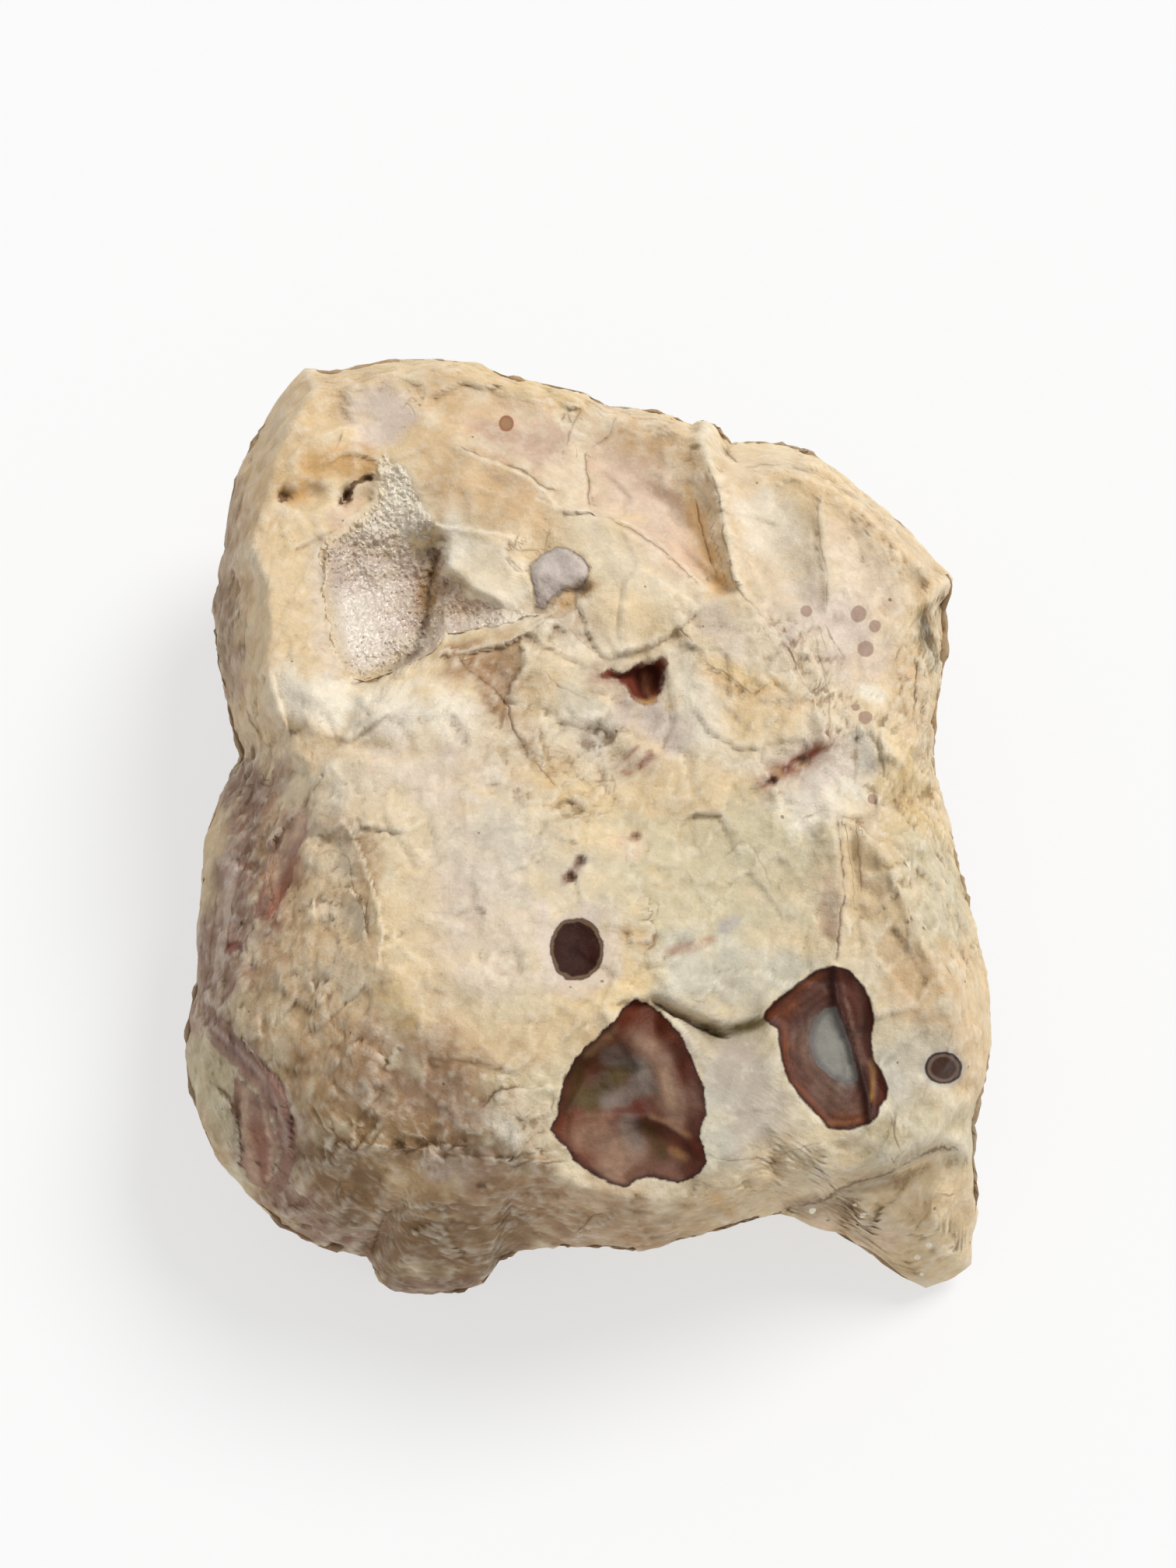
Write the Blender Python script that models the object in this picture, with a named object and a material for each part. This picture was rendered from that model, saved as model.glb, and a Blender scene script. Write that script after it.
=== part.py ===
"""A rough piece of ocean jasper, about 108 mm across, that rests on a small flat spot.

The stone is one solid. The sugary quartz that lines the hollow in its face is a second one.
Lengths are in metres unless a name says otherwise, and +Z is up.

The face is set out as it looks to an eye that stands above the front edge. A place on it is
(column, row, height): a column and a row of the photograph, and the height above the table
in millimetres. on_sight_line() turns such a place into a point in space.
"""

import math

import bmesh
import bpy
import numpy as np
from mathutils import Vector, noise
from mathutils.geometry import delaunay_2d_cdt

STONE_WIDTH = 0.108
EYE_ANGLE = math.radians(62)  # above the table
EYE_DISTANCE = 0.42
AIM_HEIGHT = 0.025  # of the point that the eye looks at
BOX_CENTRE = (-0.0002, 0.0006)  # of the stone, seen from above, before it is moved to the origin

LEFT_COLUMN, RIGHT_COLUMN = 237, 1275  # the stone's widest places
AIM_COLUMN, AIM_ROW = 756, 1008
HUB_COLUMN, HUB_ROW = 756, 1080  # the outline is drawn round this place
SCALE = STONE_WIDTH / (RIGHT_COLUMN - LEFT_COLUMN)  # metres a column
MM = 0.001

GRID_STEP = 4  # columns between two samples of the face
GRID_LEFT, GRID_TOP = 180, 400
GRID_COLUMNS, GRID_ROWS = 290, 330

STONE_TRIANGLES = 6900
CUBE_CUTS = 72
ROUNDING = 14  # columns over which the rim turns under
ROUNDING_DROP = 2.2 * MM
BED_MARGIN = 14  # columns round the bed that stay smooth
RECESS = 1.5 * MM  # the bed of the quartz crust
CRUST_GAP = 0.55 * MM
CRUST_RISE = 0.15 * MM  # of the crust's edge over the stone
CRYSTAL_STEP = 11  # columns from one crystal to the next
CRYSTAL_RISE = 0.45 * MM
BELLY = 1.8 * MM  # how much the underside curves up from the middle to the rim
FLAT_CUT = 0.5 * MM  # taken off below, where the stone rests

# The outline, clockwise from the top left corner.
OUTLINE = (
    (396, 471, 38), (425, 476, 37), (452, 470, 37), (497, 461, 36), (560, 459, 35), (612, 465, 35),
    (650, 481, 35), (700, 491, 34), (750, 502, 33), (780, 521, 32), (850, 527, 32), (893, 545, 33),
    (902, 536, 35), (922, 545, 35), (940, 568, 31), (972, 565, 28), (1015, 570, 27), (1048, 582, 27),
    (1085, 612, 29), (1125, 645, 30), (1170, 680, 30), (1200, 722, 31), (1222, 738, 32),
    (1226, 755, 31), (1214, 772, 28), (1217, 810, 25), (1212, 860, 24), (1203, 915, 24),
    (1199, 960, 22), (1205, 1015, 23), (1222, 1060, 25), (1232, 1110, 26), (1248, 1165, 26),
    (1262, 1225, 26), (1273, 1290, 25), (1274, 1345, 24), (1264, 1400, 24), (1252, 1440, 23),
    (1252, 1490, 20), (1257, 1560, 12), (1248, 1590, 9), (1249, 1622, 6), (1225, 1642, 4),
    (1190, 1652, 4), (1160, 1640, 5), (1130, 1615, 8), (1075, 1582, 13), (1040, 1572, 16),
    (1008, 1556, 22), (960, 1568, 23), (910, 1583, 23), (860, 1595, 22), (820, 1606, 20),
    (780, 1601, 20), (720, 1600, 18), (670, 1604, 14), (640, 1620, 8), (625, 1645, 4),
    (595, 1658, 2), (550, 1662, 2), (505, 1658, 2), (485, 1640, 4), (474, 1612, 8), (450, 1608, 12),
    (415, 1603, 14), (360, 1573, 17), (310, 1522, 19), (270, 1470, 21), (246, 1405, 22),
    (237, 1350, 22), (242, 1305, 22), (256, 1250, 22), (258, 1180, 23), (260, 1130, 23),
    (264, 1075, 23), (278, 1035, 23), (297, 1000, 22), (308, 970, 22), (300, 940, 22),
    (290, 890, 23), (278, 830, 24), (276, 790, 24), (282, 740, 25), (290, 700, 26), (294, 650, 27),
    (303, 610, 29), (325, 565, 31), (350, 525, 34), (375, 490, 36),
)

# Crests and creases: the face bends along these lines.
CREASES = {
    "left_crest": ((404, 500, 43), (372, 545, 43), (352, 590, 42), (335, 650, 41), (322, 700, 41),
                   (342, 750, 42), (348, 800, 42), (345, 860, 42), (350, 910, 41), (372, 948, 39)),
    "top_crest": ((440, 492, 42), (500, 478, 41), (560, 475, 40.5), (620, 482, 41), (680, 500, 41),
                  (740, 517, 39.5), (790, 535, 39), (850, 540, 39.5), (888, 560, 40.5)),
    "hollow_side": ((405, 610, 41.5), (396, 660, 41), (400, 705, 41), (413, 760, 41), (420, 820, 41),
                    (440, 868, 41)),
    "hollow_crease": ((560, 702, 35.5), (553, 740, 34), (548, 780, 34), (547, 820, 34.5),
                      (525, 846, 35), (490, 862, 36), (455, 872, 38.5)),
    "hollow_lip": ((460, 888, 42), (500, 872, 42.5), (560, 842, 42), (600, 833, 41.5),
                   (640, 818, 40.5)),
    "slab": ((575, 684, 41), (640, 694, 42), (662, 726, 41.5), (690, 782, 39.5)),
    "long_facet_top": ((590, 562, 43.5), (640, 587, 43), (690, 605, 42.5), (718, 642, 42)),
    "long_facet_foot": ((540, 664, 42.5), (600, 670, 42), (655, 676, 42)),
    "pillow_crest": ((720, 656, 42), (770, 662, 43), (810, 682, 43), (850, 705, 43), (905, 756, 42)),
    "scallop_foot": ((760, 646, 38.5), (812, 667, 38), (855, 692, 38.5), (908, 742, 38.5)),
    "groove": ((882, 632, 37), (900, 690, 36), (925, 748, 36.5)),
    "long_rib": ((903, 560, 42), (922, 612, 43), (930, 665, 43), (940, 712, 43), (955, 765, 42.5),
                 (985, 803, 42), (1015, 850, 42), (1045, 897, 42), (1066, 950, 41.5)),
    "rear_rim": ((945, 608, 40), (1000, 602, 40), (1052, 612, 40.5), (1095, 640, 40.5),
                 (1140, 680, 40), (1185, 722, 39.5), (1206, 758, 36)),
    "scallop_rib": ((1056, 640, 42), (1063, 700, 42), (1068, 760, 41.5), (1060, 795, 41)),
    "pillow_foot": ((752, 782, 41), (782, 836, 40.5), (838, 826, 40), (872, 806, 40.5),
                    (903, 774, 41)),
    "roll_foot": ((372, 962, 40), (438, 957, 42), (520, 965, 43.5), (600, 975, 43)),
    "terrace_edge": ((402, 1004, 42), (424, 978, 44), (468, 974, 45)),
    "shoulder": ((445, 1040, 45), (476, 1100, 46), (486, 1180, 46), (500, 1250, 46), (535, 1310, 45.5),
                 (590, 1370, 44.5), (640, 1412, 43)),
    "band_edge": ((388, 1050, 40.5), (372, 1130, 38.5), (350, 1190, 37.5), (308, 1240, 35.5),
                  (300, 1290, 34), (312, 1340, 33.5), (350, 1392, 33), (380, 1440, 32),
                  (400, 1500, 30)),
    "front_crest": ((440, 1482, 35), (500, 1472, 38), (560, 1466, 39.5), (640, 1468, 40.5),
                    (700, 1500, 40), (752, 1528, 38), (830, 1545, 36.5), (910, 1540, 35),
                    (1000, 1522, 34), (1100, 1500, 33.5), (1160, 1480, 33.5), (1205, 1455, 33)),
    "lobe_root": ((1020, 1556, 19), (1060, 1548, 21), (1110, 1528, 22), (1165, 1508, 23),
                  (1210, 1486, 25), (1244, 1476, 25)),
    "basin_lip": ((842, 1276, 42), (885, 1296, 41), (930, 1314, 40.5), (985, 1302, 40)),
    "crack_floor": ((846, 1289, 39), (890, 1310, 38), (932, 1328, 37.5), (984, 1314, 38)),
    "fold": ((1070, 1048, 41.5), (1086, 1150, 41.5), (1076, 1236, 40.5)),
    "fold_groove": ((1094, 1062, 39.5), (1100, 1130, 39.5), (1098, 1200, 39.5)),
    "right_crest": ((1112, 1078, 42), (1146, 1110, 42.5), (1180, 1190, 41.5), (1222, 1280, 39),
                    (1232, 1340, 37)),
    "flap": ((866, 1312, 41), (915, 1352, 40), (960, 1400, 39)),
}

# Single places between those lines.
SPOTS = (
    (300, 720, 33), (298, 780, 32), (300, 850, 31), (310, 920, 29), (430, 530, 41.5), (470, 530, 40.5),
    (500, 560, 41), (540, 530, 41.5), (600, 525, 42), (650, 540, 41), (700, 535, 40.5), (650, 562, 41.5),
    (700, 580, 40.5), (450, 560, 42), (460, 600, 42), (380, 600, 42.5), (500, 610, 42), (520, 650, 41),
    (600, 620, 43), (660, 635, 42.5), (690, 660, 42), (440, 690, 38.5), (480, 690, 38),
    (520, 690, 37.5), (440, 770, 37.5), (444, 830, 38), (480, 760, 36.5), (488, 828, 36.5),
    (522, 740, 35.5), (525, 800, 35), (575, 735, 38.5), (572, 790, 37), (620, 790, 38), (610, 730, 41.5),
    (660, 770, 40.5), (735, 560, 39.5), (732, 610, 40.5), (742, 645, 40.5), (775, 590, 38),
    (770, 625, 38), (800, 560, 39), (850, 570, 39), (820, 615, 37.5), (860, 650, 37.5),
    (885, 700, 37.5), (915, 730, 36.5), (905, 640, 38), (965, 640, 40), (990, 690, 39), (965, 745, 39.5),
    (1025, 760, 40), (1030, 690, 40.5), (1000, 640, 39.5), (1100, 690, 39.5), (1120, 745, 39),
    (1090, 800, 39.5), (1150, 800, 38.5), (1160, 740, 39), (1190, 800, 36.5), (1190, 880, 36),
    (1180, 940, 36), (970, 592, 35), (1020, 592, 35), (800, 740, 43), (850, 770, 42), (770, 720, 42.5),
    (870, 775, 41.5), (700, 700, 41), (735, 735, 41.5), (700, 795, 41.5), (760, 850, 40.5),
    (790, 880, 38), (868, 860, 39.5), (832, 915, 38.5), (700, 850, 41.5), (720, 920, 40.5),
    (640, 865, 40), (652, 905, 39), (400, 890, 43.5), (480, 915, 45), (560, 890, 44.5), (600, 925, 44),
    (640, 940, 42.5), (400, 930, 42.5), (740, 950, 39.5), (780, 965, 38.5), (690, 985, 41.5),
    (400, 980, 41), (600, 1040, 45.5), (540, 1010, 45), (600, 1150, 46.5), (600, 1260, 46.5),
    (700, 1050, 44), (700, 1150, 45.5), (700, 1290, 45.5), (790, 1180, 44.5), (800, 1100, 43),
    (850, 1040, 41.5), (640, 1350, 45), (770, 1290, 44.5), (800, 1250, 44), (410, 1080, 42),
    (412, 1160, 42), (400, 1250, 40.5), (420, 1330, 40), (450, 1400, 39.5), (400, 1400, 36.5),
    (520, 1410, 41), (600, 1440, 41.5), (330, 1050, 33), (310, 1120, 31.5), (285, 1190, 30),
    (268, 1290, 28), (266, 1360, 27), (300, 1420, 27.5), (322, 1480, 26), (362, 1530, 24),
    (350, 1000, 34), (440, 1540, 26), (500, 1550, 27), (560, 1545, 29), (640, 1540, 31), (560, 1600, 17),
    (520, 1630, 9), (590, 1630, 9), (500, 1600, 14), (620, 1600, 15), (700, 1560, 28), (760, 1575, 28),
    (850, 1575, 29), (930, 1562, 29), (900, 1090, 40.5), (980, 1100, 39.5), (1040, 1090, 40),
    (900, 1190, 41), (980, 1190, 40), (1050, 1180, 39.5), (880, 1250, 41.5), (950, 1288, 40),
    (1020, 1258, 39.5), (900, 1000, 41), (960, 1020, 40.5), (1070, 1000, 39.5), (1040, 965, 40.5),
    (1000, 950, 41.5), (950, 900, 42), (900, 940, 41.5), (1000, 870, 42.5), (940, 820, 42),
    (900, 860, 41), (1090, 850, 39.5), (1110, 920, 39.5), (1060, 1020, 40.5), (1110, 990, 39),
    (1130, 1040, 40), (1160, 980, 38.5), (1190, 1080, 38.5), (1210, 1160, 37), (1240, 1240, 34),
    (1252, 1330, 32), (1200, 1385, 36), (1150, 1330, 38.5), (1130, 1250, 39.5), (1230, 1420, 32),
    (980, 1370, 38.5), (985, 1440, 38), (1020, 1480, 38), (920, 1490, 39), (840, 1350, 41),
    (1150, 1420, 37), (1090, 1460, 37), (1150, 1540, 19), (1200, 1540, 20), (1200, 1600, 12),
    (1120, 1570, 16), (1235, 1530, 18),
)

# Small hollows: column, row, half width, half height (in columns), depth in millimetres.
PITS = {
    "red_vug": (828, 872, 30, 34, 6.0),
    "red_vug_tail": (795, 868, 22, 12, 2.5),
    "left_eye": (372, 632, 20, 18, 3.0),
    "left_eye_trail": (398, 640, 26, 20, 1.4),
    "right_eye": (462, 622, 34, 44, 3.2),
    "right_eye_hole": (446, 636, 12, 20, 4.0),
    "grey_vug": (762, 955, 34, 26, 1.5),
    "orb": (742, 1219, 35, 40, 0.9),
    "left_nodule_dish": (786, 1392, 46, 40, 1.5),
    "left_nodule_crease": (852, 1466, 34, 18, 1.1),
    "side_vug": (1193, 815, 13, 34, 2.2),
    "red_seam": (1028, 978, 34, 14, 1.3),
}

LEFT_NODULE = (
    (838, 1286), (872, 1322), (900, 1372), (910, 1418), (906, 1458), (914, 1490), (888, 1516),
    (848, 1516), (806, 1526), (768, 1512), (734, 1490), (710, 1452), (722, 1420), (734, 1376),
    (762, 1345), (798, 1304),
)
RIGHT_NODULE = (
    (1076, 1240), (1106, 1262), (1124, 1310), (1132, 1380), (1142, 1418), (1126, 1446), (1060, 1456),
    (1030, 1436), (1006, 1386), (1003, 1340), (988, 1312), (1010, 1282), (1046, 1252),
)
NODULE_DEPTH = 1.9 * MM
NODULE_SHOULDER = 22  # columns from a nodule's edge to its full depth
LEFT_NODULE_RIDGE = ((742, 1440), (800, 1432), (850, 1440), (890, 1468))
RIGHT_NODULE_RIDGE = ((1078, 1250), (1094, 1330), (1112, 1440))
RIDGE_RISE = 1.5 * MM
RIDGE_WIDTH = 12

# Flat breaks on the hidden side: the way that each faces, its tilt in degrees, and its depth in mm.
BREAKS = (
    (74, -6, 3.5), (116, 2, 3.5), (35, -14, 3.0), (150, -16, 3.5), (183, -38, 3.5), (214, -26, 3.0),
    (2, -38, 3.5), (-30, -46, 3.0), (92, -46, 2.0), (-95, -52, 2.5), (58, -50, 1.5), (128, -52, 2.0),
)

# The druse: the sugary quartz that lines the hollow.
DRUSE_EDGE = (
    (505, 580), (535, 612), (560, 660), (574, 700), (572, 738), (600, 768), (660, 776), (684, 792),
    (640, 808), (575, 812), (556, 838), (520, 858), (470, 872), (440, 862), (420, 815), (412, 755),
    (408, 708), (432, 690), (470, 672), (490, 640),
)


def on_sight_line(column, row, height):
    """The points at these heights (in metres) that the eye sees at these places of the photograph."""
    right = (np.asarray(column, float) - AIM_COLUMN) * SCALE
    up = (AIM_ROW - np.asarray(row, float)) * SCALE
    sine, cosine = math.sin(EYE_ANGLE), math.cos(EYE_ANGLE)
    eye_y, eye_z = -EYE_DISTANCE * cosine, AIM_HEIGHT + EYE_DISTANCE * sine
    along_y = up * sine + EYE_DISTANCE * cosine
    along_z = up * cosine - EYE_DISTANCE * sine
    reach = (eye_z - height) / -along_z
    x = right * reach - BOX_CENTRE[0]
    y = eye_y + along_y * reach - BOX_CENTRE[1]
    return np.stack([x, y, np.broadcast_to(height, np.shape(x))], axis=-1)


def grid_places():
    """The columns and rows of the grid that holds the face."""
    columns = GRID_LEFT + GRID_STEP * np.arange(GRID_COLUMNS)
    rows = GRID_TOP + GRID_STEP * np.arange(GRID_ROWS)
    return np.meshgrid(columns, rows)


def read_grid(values, column, row):
    """The grid's values at any places, by bilinear interpolation."""
    x = np.clip((np.asarray(column) - GRID_LEFT) / GRID_STEP, 0, GRID_COLUMNS - 1.001)
    y = np.clip((np.asarray(row) - GRID_TOP) / GRID_STEP, 0, GRID_ROWS - 1.001)
    left, top = x.astype(int), y.astype(int)
    fx, fy = x - left, y - top
    upper = values[top, left] * (1 - fx) + values[top, left + 1] * fx
    lower = values[top + 1, left] * (1 - fx) + values[top + 1, left + 1] * fx
    return upper * (1 - fy) + lower * fy


def soft_step(x):
    x = np.clip(x, 0, 1)
    return x * x * (3 - 2 * x)


def blurred(values, columns):
    """The grid smoothed over about this many columns."""
    cells = columns / GRID_STEP
    reach = max(1, math.ceil(2.5 * cells))
    weights = np.exp(-0.5 * (np.arange(-reach, reach + 1) / cells) ** 2)
    weights /= weights.sum()
    for axis in (0, 1):
        padded = np.pad(values, [(reach, reach) if a == axis else (0, 0) for a in (0, 1)], "edge")
        size = values.shape[axis]
        shifted = (np.take(padded, np.arange(k, k + size), axis) for k in range(2 * reach + 1))
        values = sum(w * s for w, s in zip(weights, shifted))
    return values


def line_distance(line, column, row, closed=False):
    """How far places are from a line, in columns."""
    ends = list(zip(line, line[1:])) + ([(line[-1], line[0])] if closed else [])
    nearest = np.full(np.shape(column), np.inf)
    for (ax, ay), (bx, by) in ends:
        dx, dy = bx - ax, by - ay
        t = np.clip(((column - ax) * dx + (row - ay) * dy) / (dx * dx + dy * dy), 0, 1)
        nearest = np.minimum(nearest, np.hypot(column - ax - t * dx, row - ay - t * dy))
    return nearest


def depth_inside(outline, column, row):
    """How far places are inside a closed outline, in columns. Outside it is negative."""
    inside = np.zeros(np.shape(column), bool)
    for (ax, ay), (bx, by) in zip(outline, outline[1:] + outline[:1]):
        crosses = (ay > row) != (by > row)
        side = (bx - ax) * (row - ay) / (by - ay + 1e-9) + ax
        inside ^= crosses & (column < side)
    distance = line_distance(outline, column, row, closed=True)
    return np.where(inside, distance, -distance)


def plane_through(corners, column, row):
    """Barycentric weights of places in the triangle with these corners."""
    (ax, ay), (bx, by), (cx, cy) = corners
    area = (bx - ax) * (cy - ay) - (cx - ax) * (by - ay)
    second = ((column - ax) * (cy - ay) - (cx - ax) * (row - ay)) / area
    third = ((bx - ax) * (row - ay) - (column - ax) * (by - ay)) / area
    return 1 - second - third, second, third


def faceted_heights():
    """The grid of heights in millimetres: flat facets between the outline, the creases and the spots."""
    skirt = [
        (HUB_COLUMN + (c - HUB_COLUMN) * 1.12, HUB_ROW + (r - HUB_ROW) * 1.12, h) for c, r, h in OUTLINE
    ]
    places = list(OUTLINE) + skirt + list(SPOTS)
    count = len(OUTLINE)
    edges = [(i, (i + 1) % count) for i in range(count)]
    for line in CREASES.values():
        edges += [(len(places) + i, len(places) + i + 1) for i in range(len(line) - 1)]
        places += line
    flat = [Vector((c, r)) for c, r, _ in places]
    corners, _, faces, origins, _, _ = delaunay_2d_cdt(flat, edges, [], 0, 1e-6, True)
    heights = [places[found[0]][2] for found in origins]
    column, row = grid_places()
    surface = np.zeros(column.shape)
    for face in faces:
        triangle = [tuple(corners[i]) for i in face]
        cut = tuple(
            slice(
                max(0, int((min(p[axis] for p in triangle) - start) / GRID_STEP)),
                max(0, int((max(p[axis] for p in triangle) - start) / GRID_STEP) + 2),
            )
            for axis, start in ((1, GRID_TOP), (0, GRID_LEFT))
        )
        weights = plane_through(triangle, column[cut], row[cut])
        within = np.min(weights, axis=0) > -1e-6
        height = sum(w * heights[i] for w, i in zip(weights, face))
        surface[cut] = np.where(within, height, surface[cut])
    return surface


def chips(column, row, size, height):
    """Small flat breaks: each cell of a Voronoi pattern is a facet with a tilt of its own."""
    found = np.zeros(column.shape)
    for index in np.ndindex(column.shape):
        spot = Vector((column[index] / size, row[index] / size, 7.3))
        centre = Vector(noise.voronoi(spot)[1][0])
        tilt = noise.cell_vector(centre * 3.1)
        found[index] = (spot - centre).dot(tilt) + 0.35 * tilt.z
    return found * height


def nodule_form(column, row):
    """How far the two banded nodules stand below the face around them, in metres."""
    left = soft_step(depth_inside(LEFT_NODULE, column, row) / NODULE_SHOULDER)
    right = soft_step(depth_inside(RIGHT_NODULE, column, row) / NODULE_SHOULDER)
    ridges = sum(
        dish * np.exp(-((line_distance(line, column, row) / RIDGE_WIDTH) ** 2))
        for dish, line in ((left, LEFT_NODULE_RIDGE), (right, RIGHT_NODULE_RIDGE))
    )
    return NODULE_DEPTH * (left + right) - RIDGE_RISE * ridges


def face_heights():
    """The grid of the face's heights in metres, and the same with the bed of the crust sunk in it."""
    column, row = grid_places()
    face = blurred(faceted_heights(), 5) * MM
    face += chips(column, row, 62, 0.5 * MM)
    face -= nodule_form(column, row)
    for left, top, half_width, half_height, depth in PITS.values():
        reach = ((column - left) / half_width) ** 2 + ((row - top) / half_height) ** 2
        face -= depth * MM * np.exp(-reach * 1.4)
    bed = soft_step(depth_inside(DRUSE_EDGE, column, row) / 9)
    return face, face - RECESS * bed


def rim_radius(angle):
    """The outline's distance from the hub, in columns, and its height in metres, at these angles."""
    column, row, height = np.array(OUTLINE, float).T
    found = np.arctan2(HUB_ROW - row, column - HUB_COLUMN)
    order = np.argsort(found)
    distance = np.hypot(column - HUB_COLUMN, row - HUB_ROW)[order]
    heights = height[order] * MM
    return (
        np.interp(angle, found[order], distance, period=2 * math.pi),
        np.interp(angle, found[order], heights, period=2 * math.pi),
    )


def underside(share, angle, rim_height):
    """Heights of the hidden side: it turns under the rim and falls to the flat resting spot."""
    reach = 0.43 + 0.06 * np.sin(angle) + 0.05 * np.sin(3 * angle + 0.8)
    inward = np.clip((1 - share) / reach, 0, 1)
    return (rim_height - ROUNDING_DROP) * (1 - inward) ** 1.9 + BELLY * share**2


def surface_points(share, angle, back, face):
    """Points of the stone: a share of the way from the hub to the rim, on the face or on the back."""
    radius, rim_height = rim_radius(angle)
    column = HUB_COLUMN + share * radius * np.cos(angle)
    row = HUB_ROW - share * radius * np.sin(angle)
    inset = np.clip((1 - share) * radius / ROUNDING, 0, 1)
    turn = ROUNDING_DROP * (1 - np.sqrt(1 - (1 - inset) ** 2))
    front_height = read_grid(face, column, row) - turn
    back_height = underside(share, angle, rim_height)
    back_height = np.where(share > 0.999, rim_height - ROUNDING_DROP, back_height)
    height = np.where(back, np.minimum(back_height, front_height), front_height)
    return on_sight_line(column, row, height)


def break_off(points, depth_in):
    """Flat breaks: each takes a flake off the hidden points that face its way."""
    for facing, tilt, depth in BREAKS:
        facing, tilt = math.radians(facing), math.radians(tilt)
        level = math.cos(tilt)
        way = np.array([math.cos(facing) * level, math.sin(facing) * level, math.sin(tilt)])
        reach = points @ way
        excess = np.maximum(reach - (reach[depth_in > 0.3].max() - depth * MM), 0) * depth_in
        points = points - excess[:, None] * way
    return points


def even_spacing(face, rings=90, spokes=360):
    """A table that spreads points evenly over the skin, from the middle of the face to that of the back."""
    share = np.sin(np.linspace(0, math.pi / 2, rings))
    share = np.concatenate([share, share[-2::-1]])
    back = np.arange(len(share)) >= rings
    angle = np.linspace(-math.pi, math.pi, spokes, endpoint=False)
    points = surface_points(share[None, :], angle[:, None], back[None, :], face)
    step = np.linalg.norm(np.diff(points, axis=1), axis=2)
    ring = (share[1:] + share[:-1]) / 2 + 0.01
    area = step * ring
    area = sum(np.roll(area, k, axis=0) for k in range(-6, 7)) / 13
    total = np.concatenate([np.zeros((spokes, 1)), np.cumsum(area, axis=1)], axis=1)
    return share, back, total / total[:, -1:]


def stone_skin(face, cuts):
    """The stone's points, on a cube whose faces are cut into squares and blown up to the stone."""
    skin = bmesh.new()
    bmesh.ops.create_cube(skin, size=2)
    bmesh.ops.subdivide_edges(skin, edges=skin.edges[:], cuts=cuts, use_grid_fill=True)
    cube = np.array([v.co[:] for v in skin.verts])
    ball = np.tan(cube * math.pi / 4)
    ball /= np.linalg.norm(ball, axis=1, keepdims=True)
    angle = np.arctan2(ball[:, 1], ball[:, 0])
    depth = (1 - ball[:, 2]) / 2
    share, back, table = even_spacing(face)
    steps = np.arange(len(share))
    spoke = np.round((angle + math.pi) / (2 * math.pi) * len(table)).astype(int) % len(table)
    step = np.array([np.interp(d, table[s], steps) for d, s in zip(depth, spoke)])
    share, back = np.interp(step, steps, share), step > (len(share) - 1) / 2
    points = surface_points(share, angle, back, face)
    points = break_off(points, np.where(back, soft_step((1 - share) / 0.12), 0))
    for vertex, point in zip(skin.verts, points):
        vertex.co = point
    radius, _ = rim_radius(angle)
    column = HUB_COLUMN + share * radius * np.cos(angle)
    row = HUB_ROW - share * radius * np.sin(angle)
    bed = soft_step(1 + depth_inside(DRUSE_EDGE, column, row) / BED_MARGIN) * ~back
    return skin, 1 - bed


def roughen(skin, freedom, height, size):
    """Breaks up the skin with uneven lumps and facets, where it is free to move."""
    skin.normal_update()
    moves = []
    for vertex, free in zip(skin.verts, freedom):
        at = vertex.co / size
        lumps = noise.fractal(at, 0.9, 2.1, 3)
        ledges = noise.ridged_multi_fractal(at * 0.8 + Vector((3, 1, 7)), 0.9, 2.0, 3, 0.9, 2.0) - 1.1
        moves.append(vertex.normal * height * float(free) * (0.7 * lumps + 0.35 * ledges))
    for vertex, move in zip(skin.verts, moves):
        vertex.co += move


def stand_flat(skin):
    """Cuts the resting spot flat, and puts it on the table."""
    for vertex in skin.verts:
        vertex.co.z = max(vertex.co.z - FLAT_CUT, 0)


def material(name, colour, roughness):
    made = bpy.data.materials.new(name)
    made.use_nodes = True
    shader = made.node_tree.nodes["Principled BSDF"]
    shader.inputs["Base Color"].default_value = (*colour, 1)
    shader.inputs["Roughness"].default_value = roughness
    shader.inputs["Metallic"].default_value = 0
    made.diffuse_color = (*colour, 1)
    return made


def new_object(name, skin, collection, finish):
    mesh = bpy.data.meshes.new(name)
    skin.to_mesh(mesh)
    skin.free()
    made = bpy.data.objects.new(name, mesh)
    mesh.materials.append(finish)
    collection.objects.link(made)
    return made


def thin_out(made, triangles):
    """Keeps the triangles where the form bends most, and flattens the resting spot again."""
    mesh = made.data
    mesh.calc_loop_triangles()
    thinner = made.modifiers.new("Thin out", "DECIMATE")
    thinner.ratio = triangles / len(mesh.loop_triangles)
    thinner.use_collapse_triangulate = True
    bpy.context.view_layer.update()
    evaluated = made.evaluated_get(bpy.context.evaluated_depsgraph_get())
    made.data = bpy.data.meshes.new_from_object(evaluated)
    made.modifiers.clear()
    for vertex in made.data.vertices:
        if vertex.co.z < 0.05 * MM:
            vertex.co.z = 0


def build_stone(collection, bed):
    skin, freedom = stone_skin(bed, CUBE_CUTS)
    roughen(skin, freedom, 0.5 * MM, 9 * MM)
    stand_flat(skin)
    cream = material("cream_jasper", (0.66, 0.53, 0.37), 0.5)
    stone = new_object("stone", skin, collection, cream)
    thin_out(stone, STONE_TRIANGLES)
    stone.data.shade_smooth()
    stone.data.set_sharp_from_angle(angle=math.radians(35))
    return stone


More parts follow.
